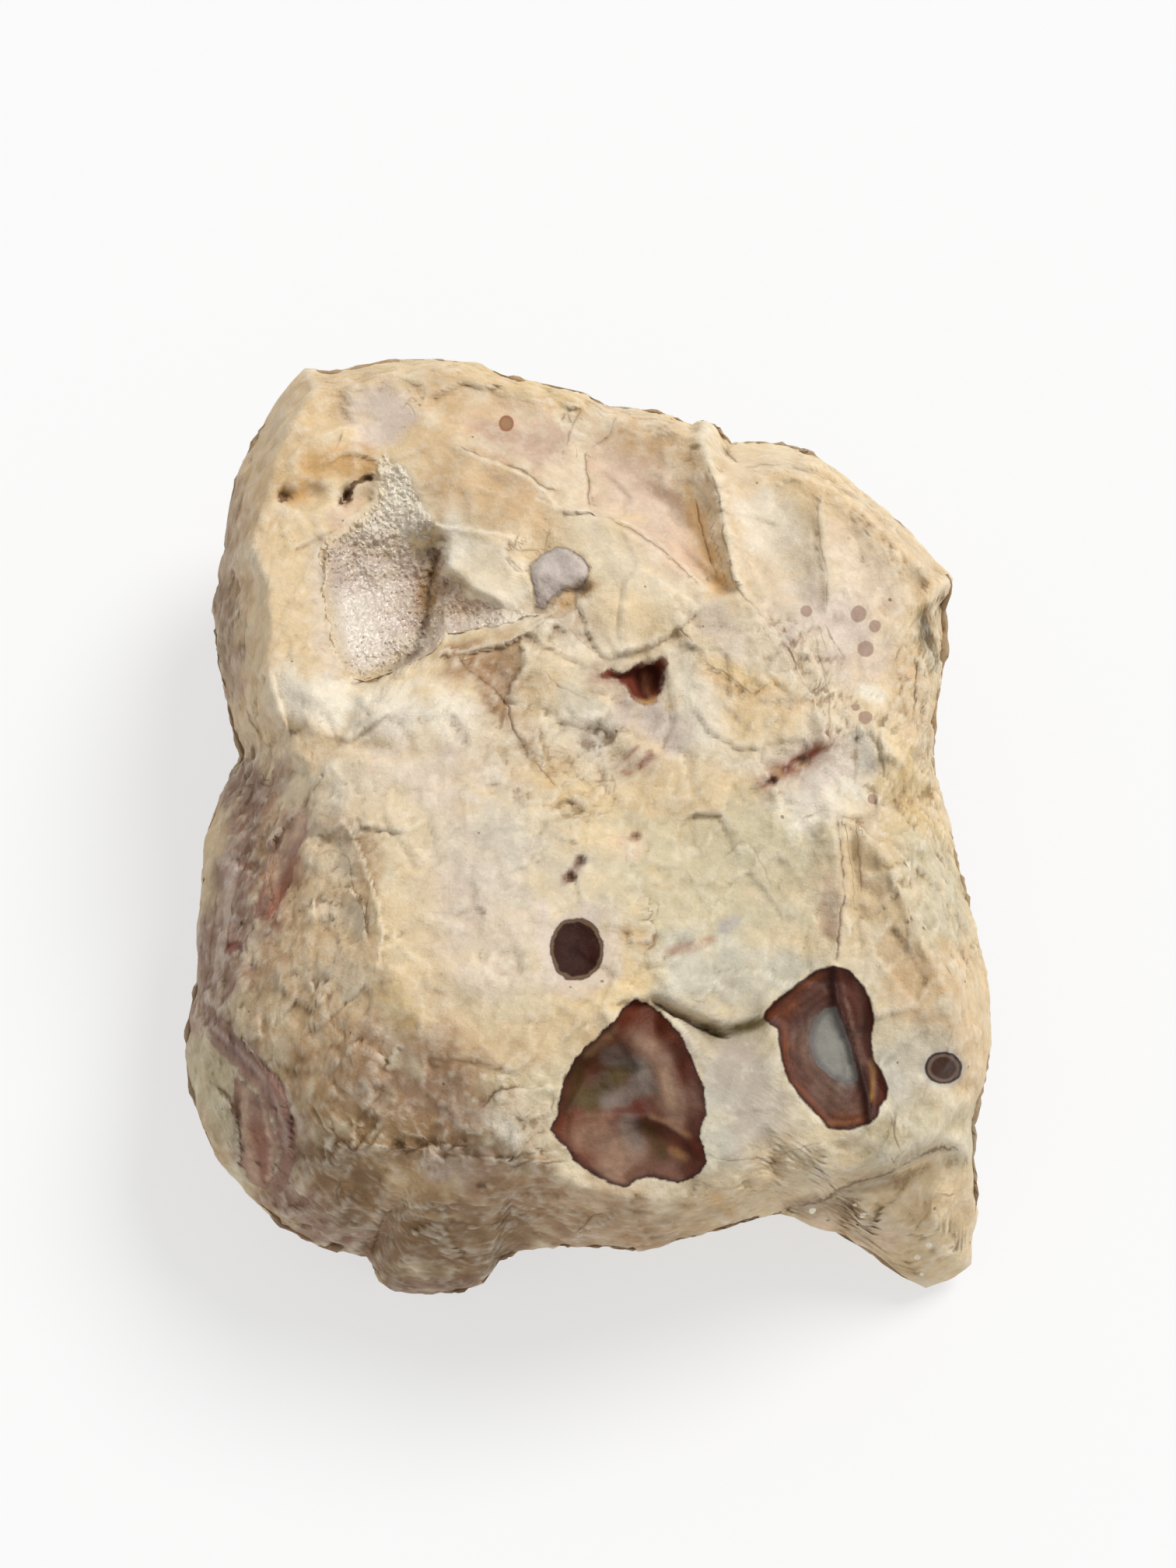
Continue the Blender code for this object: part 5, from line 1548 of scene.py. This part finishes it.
# Painted glints: bright white spots on the lobe where its small crystal faces catch the light
PAINTED_GLINTS = (
    (1045, 1555, 5), (1110, 1557, 5), (1099, 1545, 3), (1195, 1600, 5), (1180, 1615, 5), (1186, 1636, 3),
)


def distance_in_view(bench, place, orb):
    """How far the shaded point is from an orb's centre: 1 at its edge."""
    column, row, half_width, half_height = orb
    moved = bench.put("VectorMath", place, (column, row, 0), operation="SUBTRACT")
    scaled = bench.put("VectorMath", moved, (1 / half_width, 1 / half_height, 1), operation="MULTIPLY")
    return bench.measure("LENGTH", scaled)


def ring_colours(bench, distance, base, rings):
    """Lays rings over the base: each has an outer edge, a softness, a strength and a colour."""
    for edge, softness, strength, colour in rings:
        inside = bench.math("MULTIPLY", bench.ramp(distance, edge + softness, edge - softness), strength)
        base = bench.mix(inside, base, colour)
    return base


print("orbs:", 3 + len(GREY_ORBS), "sparkles:", len(PAINTED_GLINTS))

# %% [markdown]
# ## Grain
#
# Closer than half a millimetre the break is a mosaic of tiny flakes with pale mottling between
# them. Three sizes of tilted cells give that, and the same cells shade the colour and the bumps.

# %% The grain of the stone
FLAKES = ((230, 1.2, 0.09), (720, 1.3, 0.10), (1900, 0.4, 0.07))


def stone_grain(bench, where, base):
    """Flakes, mottling and freckles finer than the mesh. Gives the colour, the relief and the noise."""
    rough = bench.stored("rough")
    ragged = bench.warped(where, 650, 0.0009)
    fine = bench.noise(where, 1700, 5, 0.7)
    mottle = bench.noise(where, 300, 5, 0.62)
    relief = bench.math("MULTIPLY_ADD", mottle, 0.3, fine)
    tone = bench.math("MULTIPLY_ADD", fine, 0.22, 0.91)
    for scale, rise, contrast in FLAKES:
        height, cell_tone = bench.flakes(ragged, scale)
        share = bench.math("MULTIPLY_ADD", rough, rise, rise * 0.15)
        relief = bench.math("MULTIPLY_ADD", height, share, relief)
        tone = bench.math("ADD", tone, bench.math("MULTIPLY_ADD", cell_tone, contrast, -contrast / 2))
    base = bench.mix(bench.math("MULTIPLY", bench.ramp(mottle, 0.50, 0.62), 0.2), base, flat_colour("white"))
    veins = bench.ramp(bench.noise(where, 170, 9, 0.75), 0.53, 0.63)
    veins = bench.math("MULTIPLY", veins, bench.math("MULTIPLY_ADD", rough, 0.25, 0.02))
    base = bench.mix(veins, base, flat_colour("ochre"))
    # Painted shade with stain: umber specks from noise, with more where the hollows' painted shade lies
    specks_stain_and_shade = bench.math("MULTIPLY_ADD", bench.stored("hollow_shade_and_stain"), 0.5, bench.math("MULTIPLY", rough, 0.06))
    specks_stain_and_shade = bench.ramp(bench.math("ADD", bench.math("SUBTRACT", fine, mottle), specks_stain_and_shade), 0.24, 0.34)
    base = bench.mix(bench.math("MULTIPLY", specks_stain_and_shade, 0.35), base, flat_colour("umber"))
    freckles = bench.cells(where, 520)
    chance = bench.put("SeparateColor", freckles.outputs["Color"])
    size = bench.math("MULTIPLY", bench.ramp(chance, 0.93, 1.0), 0.15)
    freckle = bench.ramp(bench.math("SUBTRACT", size, freckles.outputs["Distance"]), 0.0, 0.05)
    base = bench.mix(bench.math("MULTIPLY", freckle, 0.6), base, flat_colour("bark"))
    relief = bench.math("SUBTRACT", relief, freckle)
    return bench.toned(base, tone), relief, fine


print("sizes of flake:", len(FLAKES))

# %% [markdown]
# ## Cracks and inlays in the finish
#
# A crack is a thread of dirt with a stained halo. Noise shakes its distance, so that it runs ragged
# and breaks off here and there. The edge of a nodule is drawn in the same way, with a dark rim.

# %% The cracks and the inlays in the finish
def draw_cracks(bench, where, base, relief):
    """Draws the dark threads of the cracks. Gives the colour and the relief."""
    shaken = bench.math("MULTIPLY_ADD", bench.noise(where, 900, 4, 0.6), 1.6, -0.8)
    gap = bench.math("ABSOLUTE", bench.math("ADD", bench.stored("crack_side"), shaken))
    broken = bench.ramp(bench.noise(where, 260, 3), 0.40, 0.52)
    shade = bench.math("MULTIPLY", bench.stored("crack_shade"), bench.math("MULTIPLY_ADD", broken, 0.7, 0.3))
    halo = bench.math("MULTIPLY", bench.math("MULTIPLY", bench.ramp(gap, 2.2, 0.2), shade), 0.45)
    base = bench.mix(halo, base, flat_colour("clay", 0.85))
    line = bench.math("MULTIPLY", bench.ramp(gap, 0.55, 0.15), shade)
    base = bench.mix(bench.math("MULTIPLY", line, 0.7), base, flat_colour("bark"))
    furrow = bench.math("MULTIPLY", bench.ramp(gap, 1.2, 0.0), shade)
    return base, bench.math("SUBTRACT", relief, bench.math("MULTIPLY", furrow, 0.9))


def draw_inlays(bench, where, base):
    """Lays the agate over the stone. Gives the colour and 1 inside the inlays."""
    dark_rim = bench.stored("rim_dark")
    shake = bench.math("MULTIPLY_ADD", bench.noise(where, 600, 5, 0.65), 2.0, -1.0)
    reach = bench.math("MULTIPLY_ADD", dark_rim, -16.0, 14.0)
    edge = bench.math("MULTIPLY_ADD", shake, bench.math("MAXIMUM", reach, 3.5), bench.stored("inlay_edge"))
    crisp = bench.ramp(edge, -0.6, 0.9)
    soft = bench.ramp(edge, -5.0, 5.0)
    sharpness = bench.ramp(dark_rim, 0.15, 0.35)
    inside = bench.math("MULTIPLY_ADD", bench.math("SUBTRACT", crisp, soft), sharpness, soft)
    growth = bench.math("MULTIPLY_ADD", bench.stored("inlay_edge"), 0.06, bench.noise(where, 160, 3))
    depth = bench.math("MULTIPLY", bench.ramp(bench.stored("polish"), 0.64, 0.72), 0.12)
    banded = bench.math("MULTIPLY_ADD", bench.math("SINE", bench.math("MULTIPLY", growth, 9.0)), depth, 0.97)
    agate = bench.toned(bench.stored("inlay_paint", "Color"), banded)
    agate = bench.toned(agate, bench.math("MULTIPLY_ADD", bench.noise(where, 900, 5, 0.65), 0.7, 0.65))
    core = bench.math("MULTIPLY_ADD", shake, 3.0, bench.stored("core_edge"))
    core_rim = bench.math("MULTIPLY", bench.ramp(core, -2.5, -0.5), 0.5)
    agate = bench.mix(core_rim, agate, flat_colour("plum", 0.6))
    agate = bench.mix(bench.ramp(core, -0.5, 1.5), agate, flat_colour("grey", 0.38))
    core_heart = bench.math("MULTIPLY", bench.ramp(core, 3.0, 12.0), 0.6)
    agate = bench.mix(core_heart, agate, flat_colour("ice", 0.55))
    base = bench.mix(inside, base, agate)
    rim = bench.math("MULTIPLY", bench.ramp(edge, -2.5, 0.0), bench.ramp(edge, 4.0, 0.5))
    return bench.mix(bench.math("MULTIPLY", rim, dark_rim), base, flat_colour("maroon", 0.7)), inside


print("crack and inlay layers ready")


# %% The orbs in the finish
def draw_orbs(bench, where, base):
    """Draws the orbs and the painted glints on the lobe. Gives the colour and how glossy the orbs are."""
    place = bench.stored("view_place", "Vector")
    ragged = bench.math("MULTIPLY_ADD", bench.noise(where, 800, 4), 0.22, -0.11)
    orb = bench.math("ADD", distance_in_view(bench, place, DARK_ORB), ragged)
    base = ring_colours(bench, orb, base, (
        (1.16, 0.12, 0.6, flat_colour("lavender")), (1.00, 0.04, 0.9, flat_colour("maroon", 0.8)),
        (0.94, 0.03, 0.8, flat_colour("umber", 0.75)), (0.86, 0.04, 1.0, flat_colour("red", 0.16)),
        (0.70, 0.30, 0.5, flat_colour("red", 0.25)), (0.25, 0.2, 0.5, flat_colour("maroon", 0.3)),
    ))
    small = bench.math("ADD", distance_in_view(bench, place, SMALL_ORB), bench.math("MULTIPLY", ragged, 0.6))
    base = ring_colours(bench, small, base, (
        (1.2, 0.2, 0.5, flat_colour("grey")), (1.0, 0.05, 0.95, flat_colour("maroon", 0.3)),
        (0.86, 0.05, 0.9, flat_colour("mauve", 0.45)), (0.68, 0.08, 0.9, flat_colour("rust", 0.14)),
    ))
    for column, row, radius in GREY_ORBS:
        away = bench.math("ADD", distance_in_view(bench, place, (column, row, radius, radius)), ragged)
        disc = bench.math("MULTIPLY", bench.ramp(away, 1.05, 0.85), 0.75)
        base = bench.mix(disc, base, flat_colour("mauve", 0.9))
    # Painted glints, in a white brighter than the stone's own
    for column, row, radius in PAINTED_GLINTS:
        away = distance_in_view(bench, place, (column, row, radius, 0.75 * radius))
        away = bench.math("MULTIPLY_ADD", ragged, 3, away)
        base = bench.mix(bench.ramp(away, 1.0, 0.75), base, flat_colour("white", 1.15))
    brown = distance_in_view(bench, place, BROWN_ORB)
    base = ring_colours(bench, brown, base, (
        (1.05, 0.12, 0.9, flat_colour("rust", 0.9)), (0.75, 0.25, 0.9, flat_colour("clay", 0.9)),
    ))

    nearer = bench.math("MINIMUM", orb, small)
    return base, bench.math("MULTIPLY", bench.ramp(nearer, 1.0, 0.9), 0.3)


print("orb layers ready")

# %% [markdown]
# ## The jasper's material
#
# The layers go on in their order in the stone: grain, cracks, agate, orbs. A little light passes
# under the surface, as in wax, and the polish of the nodules lowers the roughness.

# %% The jasper's material
QUARTZ_IOR = 1.54
FINEST_RELIEF = 0.3 * MM
WAXY_SPECULAR = 0.13


def jasper_material():
    """The finish of the whole stone."""
    bench = Bench("waxy_jasper")
    where = bench.tree.nodes.new("ShaderNodeTexCoord").outputs["Object"]
    base, relief, fine = stone_grain(bench, where, bench.stored("paint", "Color"))
    base, relief = draw_cracks(bench, where, base, relief)
    base, inside = draw_inlays(bench, where, base)
    base, orb_gloss = draw_orbs(bench, where, base)
    glossy = bench.math("MAXIMUM", bench.math("MULTIPLY", inside, bench.stored("polish")), orb_gloss)
    bench.feed(bench.shader.inputs["Base Color"], base)
    dull = bench.math("MULTIPLY_ADD", fine, 0.3, 0.40)
    dull = bench.math("SUBTRACT", dull, bench.math("MULTIPLY", glossy, 0.25))
    bench.feed(bench.shader.inputs["Roughness"], dull)
    bench.shader.inputs["Subsurface Weight"].default_value = 0.10
    bench.shader.inputs["Subsurface Radius"].default_value = (1.0, 0.7, 0.45)
    bench.shader.inputs["Subsurface Scale"].default_value = MM
    bench.shader.inputs["IOR"].default_value = QUARTZ_IOR
    bench.shader.inputs["Specular IOR Level"].default_value = WAXY_SPECULAR
    bump = bench.tree.nodes.new("ShaderNodeBump")
    bump.inputs["Distance"].default_value = FINEST_RELIEF
    bumpy = bench.math("MULTIPLY_ADD", bench.stored("rough"), 0.6, 0.45)
    bumpy = bench.math("SUBTRACT", bumpy, bench.math("MULTIPLY", glossy, 0.25))
    bench.feed(bump.inputs["Strength"], bumpy)
    bench.tree.links.new(relief, bump.inputs["Height"])
    bench.tree.links.new(bump.outputs["Normal"], bench.shader.inputs["Normal"])
    return bench.material


stone.data.materials.append(jasper_material())
print("shader nodes:", len(stone.data.materials[0].node_tree.nodes))

# %% [markdown]
# ## The druse
#
# The hollow is lined with quartz crystals of half a millimetre: sugar to the eye. Painting grains on
# would look flat, because each grain throws its own highlight. So the lining is a sheet of small
# peaks, coarse and crumbly above, fine as dust below, with separate pointed crystals standing in it.

# %% The sheet of small peaks
GRAIN_STEP = 1.6
DRUSE_GAP = 0.6 * MM


def druse_places(step):
    """Shaken places all over the druse, about this many columns apart."""
    columns = np.array([c for c, _ in DRUSE_EDGE])
    rows = np.array([r for _, r in DRUSE_EDGE])
    grid = np.meshgrid(
        np.arange(columns.min(), columns.max(), step), np.arange(rows.min(), rows.max(), step)
    )
    column, row = (axis.ravel() for axis in grid)
    whole = np.round(column * 16).astype(int), np.round(row * 16).astype(int)
    column = column + (scramble(*whole, 1) - 0.5) * step * 0.8
    row = row + (scramble(*whole, 2) - 0.5) * step * 0.8
    inside = depth_inside(DRUSE_EDGE, column, row) > step
    return column[inside], row[inside]


def druse_edge(steps=12):
    """The druse's outline, with each side cut into steps."""
    edge = []
    for (ax, ay), (bx, by) in zip(DRUSE_EDGE, DRUSE_EDGE[1:] + DRUSE_EDGE[:1]):
        for k in range(steps):
            edge.append((ax + (bx - ax) * k / steps, ay + (by - ay) * k / steps))
    return edge


def coarseness(column, row):
    """1 in the crumbly upper part and along the crease, 0 on the fine floor."""
    line = [(c, r) for c, r, _ in CREASES["hollow_crease"]]
    crease = np.exp(-((nearest_on_line(line, column, row)[0] / 26) ** 2))
    return np.clip(0.75 * soft_step((765 - row) / 70) + 0.8 * crease + 0.4 * (column > 570), 0, 1)


def druse_grains(column, row):
    """The grains on the crust, in millimetres, before the sheet is lifted into place."""
    view = np.stack([column, row], axis=1)
    coarse = coarseness(column, row)
    grains = chips(view, 8.5, 41) * 0.22 * coarse + clouds(view, 3.4, 42, 2) * (0.07 + 0.14 * coarse)
    holes = np.maximum(np.abs(clouds(view, 13, 45, 2)) - 0.6, 0) * coarse
    return grains - 0.8 * holes + clouds(view, 26, 43) * (0.15 + 0.3 * coarse)


def druse_height(column, row):
    """The top of the crust, which dives under the stone's face at its frayed edge."""
    points = on_sight_line(column, row, read_grid(face, column, row))
    frayed = depth_inside(DRUSE_EDGE, column, row) + 7 * clouds(points, 2.5 * MM, 44, 3)
    lift = soft_step((frayed + 2) / 7)
    depth = (druse_grains(column, row) - 0.05) * lift - (1 - lift) * 0.7
    return read_grid(face, column, row) - FLAT_CUT + depth * MM


edge = druse_edge()
column, row = druse_places(GRAIN_STEP)
places = [Vector(p) for p in edge] + [Vector(p) for p in zip(column, row)]
loop = [(i, (i + 1) % len(edge)) for i in range(len(edge))]
corners, _, faces, _, _, _ = delaunay_2d_cdt(places, loop, [], 0, 1e-6, True)
column, row = np.array([p[:] for p in corners]).T
middles = np.array(faces)
inside = depth_inside(DRUSE_EDGE, column[middles].mean(axis=1), row[middles].mean(axis=1)) > 0
crust = bmesh.new()
top = [crust.verts.new(p) for p in on_sight_line(column, row, druse_height(column, row))]
for corner_list, keep in zip(faces, inside):
    if keep:
        crust.faces.new([top[i] for i in corner_list])
lower = bmesh.ops.extrude_face_region(crust, geom=crust.faces[:], use_keep_orig=True)["geom"]
for part in lower:
    if isinstance(part, bmesh.types.BMVert):
        part.co.z -= DRUSE_GAP
bmesh.ops.recalc_face_normals(crust, faces=crust.faces[:])
if crust.calc_volume(signed=True) < 0:
    bmesh.ops.reverse_faces(crust, faces=crust.faces[:])
print("crust faces:", len(crust.faces))

# %% [markdown]
# ## Single crystals
#
# Where the druse is fine, single points of quartz stand out of it and catch the light. Each is a
# six-sided cone of its own size and lean, joined into the same mesh.

# %% The crystals that stand in it
CRYSTAL_STEP = 8.0


def add_crystal(target, foot, lean, radius, length):
    """A six-sided point, half sunk in the crust."""
    made = bmesh.ops.create_cone(target, cap_ends=True, segments=6, radius1=radius,
                                 radius2=radius * 0.12, depth=length)
    turn = lean.to_track_quat("Z", "Y").to_matrix()
    for vertex in made["verts"]:
        vertex.co = turn @ vertex.co + foot


column, row = druse_places(CRYSTAL_STEP)
feet = on_sight_line(column, row, druse_height(column, row))
luck = [scramble(np.round(column * 8).astype(int), np.round(row * 8).astype(int), k) for k in range(5)]
coarse = coarseness(column, row)
for foot, crumbly, a, b, c, d, e in zip(feet, coarse, *luck):
    if a > 0.25 + 0.6 * crumbly:
        continue
    lean = Vector(((b - 0.5) * 1.6, (c - 0.5) * 1.6 - 0.2, 1)).normalized()
    size = (0.10 + 0.16 * d + 0.12 * crumbly) * MM
    add_crystal(crust, Vector(foot) + lean * size * 0.3, lean, size, size * (1.5 + e))
druse = new_object("druzy_quartz", crust)
print("druse triangles:", sum(len(p.vertices) - 2 for p in druse.data.polygons))

# %% [markdown]
# ## The colour of the druse
#
# The crust has no colour of its own: clear grains over a stained bed. So it is painted like the
# stone, with brown in the gaps between the grains, and gets more gloss. To paint it, every point of
# the crust is first put back into the view, which is the sight line run backwards.

# %% Places of the view for finished points
def seen_at(points):
    """The columns and rows at which the eye sees these points."""
    x, y, z = (points + (*BOX_CENTRE, 0)).T
    sine, cosine = math.sin(EYE_ANGLE), math.cos(EYE_ANGLE)
    y, z = y + EYE_DISTANCE * cosine, z - (AIM_HEIGHT + EYE_DISTANCE * sine)
    away = y * cosine - z * sine
    up = y * sine + z * cosine
    shrink = EYE_DISTANCE / away / SCALE
    return AIM_COLUMN + x * shrink, AIM_ROW - up * shrink


DRUSE_STROKES = rows_of("""
white 1.0 56  500,600 525,650 500,690
clay 0.2 30  430,706 500,710 540,730
mauve 0.4 40  440,740 500,730 530,780
lavender 0.9 48  450,780 480,820 460,850
white 0.5 34  450,800 470,840
tan 0.5 30  600,785 570,760
mauve 0.3 30  575,740 590,775 620,785
white 0.5 12  600,798 640,802 670,796
umber 0.7 8  560,706 556,740 550,790 542,826 510,856 470,872
ochre 0.5 12  552,730 548,780
dark 0.5 3.5  564,712 553,745 549,790 535,840 500,862
""")
points = np.array([v.co[:] for v in druse.data.vertices])
column, row = seen_at(points)
level = druse_grains(column, row)
gaps = np.clip((0.05 - level) * 1.5, 0, 1) * (0.15 + 0.85 * coarseness(column, row))
colour = mixed(PIGMENTS["lavender"], PIGMENTS["milk"], 0.5 + 0.5 * clouds(points, 4 * MM, 46))
colour = paint(colour, DRUSE_STROKES, (column, row), clouds(points, 2 * MM, 47, 3))
colour = mixed(colour, PIGMENTS["clay"], 0.25 * gaps)
outer = soft_step((22 - depth_inside(DRUSE_EDGE, column, row)) / 22) * soft_step((540 - column) / 60)
colour = mixed(colour, PIGMENTS["cream"], 0.75 * outer)
colour = mixed(colour, PIGMENTS["white"], np.clip(level * 0.9, 0, 0.6))
colour = colour * (0.88 + 0.12 * scramble(*(np.round(points / (0.45 * MM)).astype(int)).T))[:, None]
store(druse.data, "paint", colour)
print("mean colour of the druse:", colour.mean(axis=0).round(2))


# %% [markdown]
# ## The druse's finish
#
# Each grain is a clear crystal, so some throw light back and some don't. Noise finer than the grains
# on the roughness does that, and tells the crust from the waxy stone beside it.

# %% The druse's finish
def quartz_material():
    """The finish of the druse."""
    bench = Bench("sugary_quartz")
    where = bench.tree.nodes.new("ShaderNodeTexCoord").outputs["Object"]
    grain = bench.noise(where, 2600, 4, 0.65)
    base = bench.toned(bench.stored("paint", "Color"), bench.math("MULTIPLY_ADD", grain, 0.5, 0.70))
    specks = bench.ramp(bench.noise(where, 1300, 3), 0.64, 0.72)
    base = bench.mix(bench.math("MULTIPLY", specks, 0.15), base, flat_colour("ochre"))
    bench.feed(bench.shader.inputs["Base Color"], base)
    bench.feed(bench.shader.inputs["Roughness"], bench.math("MULTIPLY_ADD", grain, 0.5, 0.08))
    bench.shader.inputs["IOR"].default_value = QUARTZ_IOR
    bench.shader.inputs["Subsurface Weight"].default_value = 0.1
    bench.shader.inputs["Subsurface Radius"].default_value = (1.0, 0.85, 0.7)
    bench.shader.inputs["Subsurface Scale"].default_value = MM
    return bench.material


druse.data.materials.append(quartz_material())
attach(druse, "root")
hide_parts("druse_crust")
print("shader nodes of the druse:", len(druse.data.materials[0].node_tree.nodes))

# %% [markdown]
# ## Floor, light and finish
#
# The stone lies on a white sweep. Soft light from the upper right keeps the shadow faint, and lays
# it to the left and in front. A wide sun gives the same light everywhere on the floor, and the
# sweep glows a little, as translucent acrylic does over a lamp, so the shadow stays pale.

# %% The floor
SWEEP_GREY = (0.30, 0.30, 0.30, 1)
SWEEP_GLOW = 0.61


def lay_floor():
    """The white ground under the stone."""
    floor = bmesh.new()
    bmesh.ops.create_grid(floor, x_segments=1, y_segments=1, size=4)
    made = new_object("floor", floor)
    bench = Bench("white_sweep")
    bench.shader.inputs["Base Color"].default_value = SWEEP_GREY
    bench.shader.inputs["Roughness"].default_value = 0.9
    bench.shader.inputs["Emission Color"].default_value = (1, 1, 1, 1)
    bench.shader.inputs["Emission Strength"].default_value = SWEEP_GLOW
    made.data.materials.append(bench.material)
    return made


floor = lay_floor()
print("floor:", floor.dimensions[:2])

# %% The light
SUN_FROM = (0.50, 0.38, 0.78)
SUN_WIDTH = math.radians(26)
SUN_STRENGTH = 2.38
ROOM_GLOW = 0.53


def hang_sun():
    """One wide lamp, far away at the upper right."""
    light = bpy.data.lights.new("soft_sun", "SUN")
    light.angle = SUN_WIDTH
    light.energy = SUN_STRENGTH
    lamp = bpy.data.objects.new("soft_sun", light)
    lamp.rotation_euler = (-Vector(SUN_FROM)).to_track_quat("-Z", "Y").to_euler()
    bpy.context.scene.collection.objects.link(lamp)


hang_sun()
world = bpy.data.worlds.new("white_room")
world.use_nodes = True
world.node_tree.nodes["Background"].inputs["Color"].default_value = (1, 1, 1, 1)
world.node_tree.nodes["Background"].inputs["Strength"].default_value = ROOM_GLOW
bpy.context.scene.world = world
bpy.context.scene.view_settings.view_transform = "Standard"
print("sun from:", SUN_FROM)
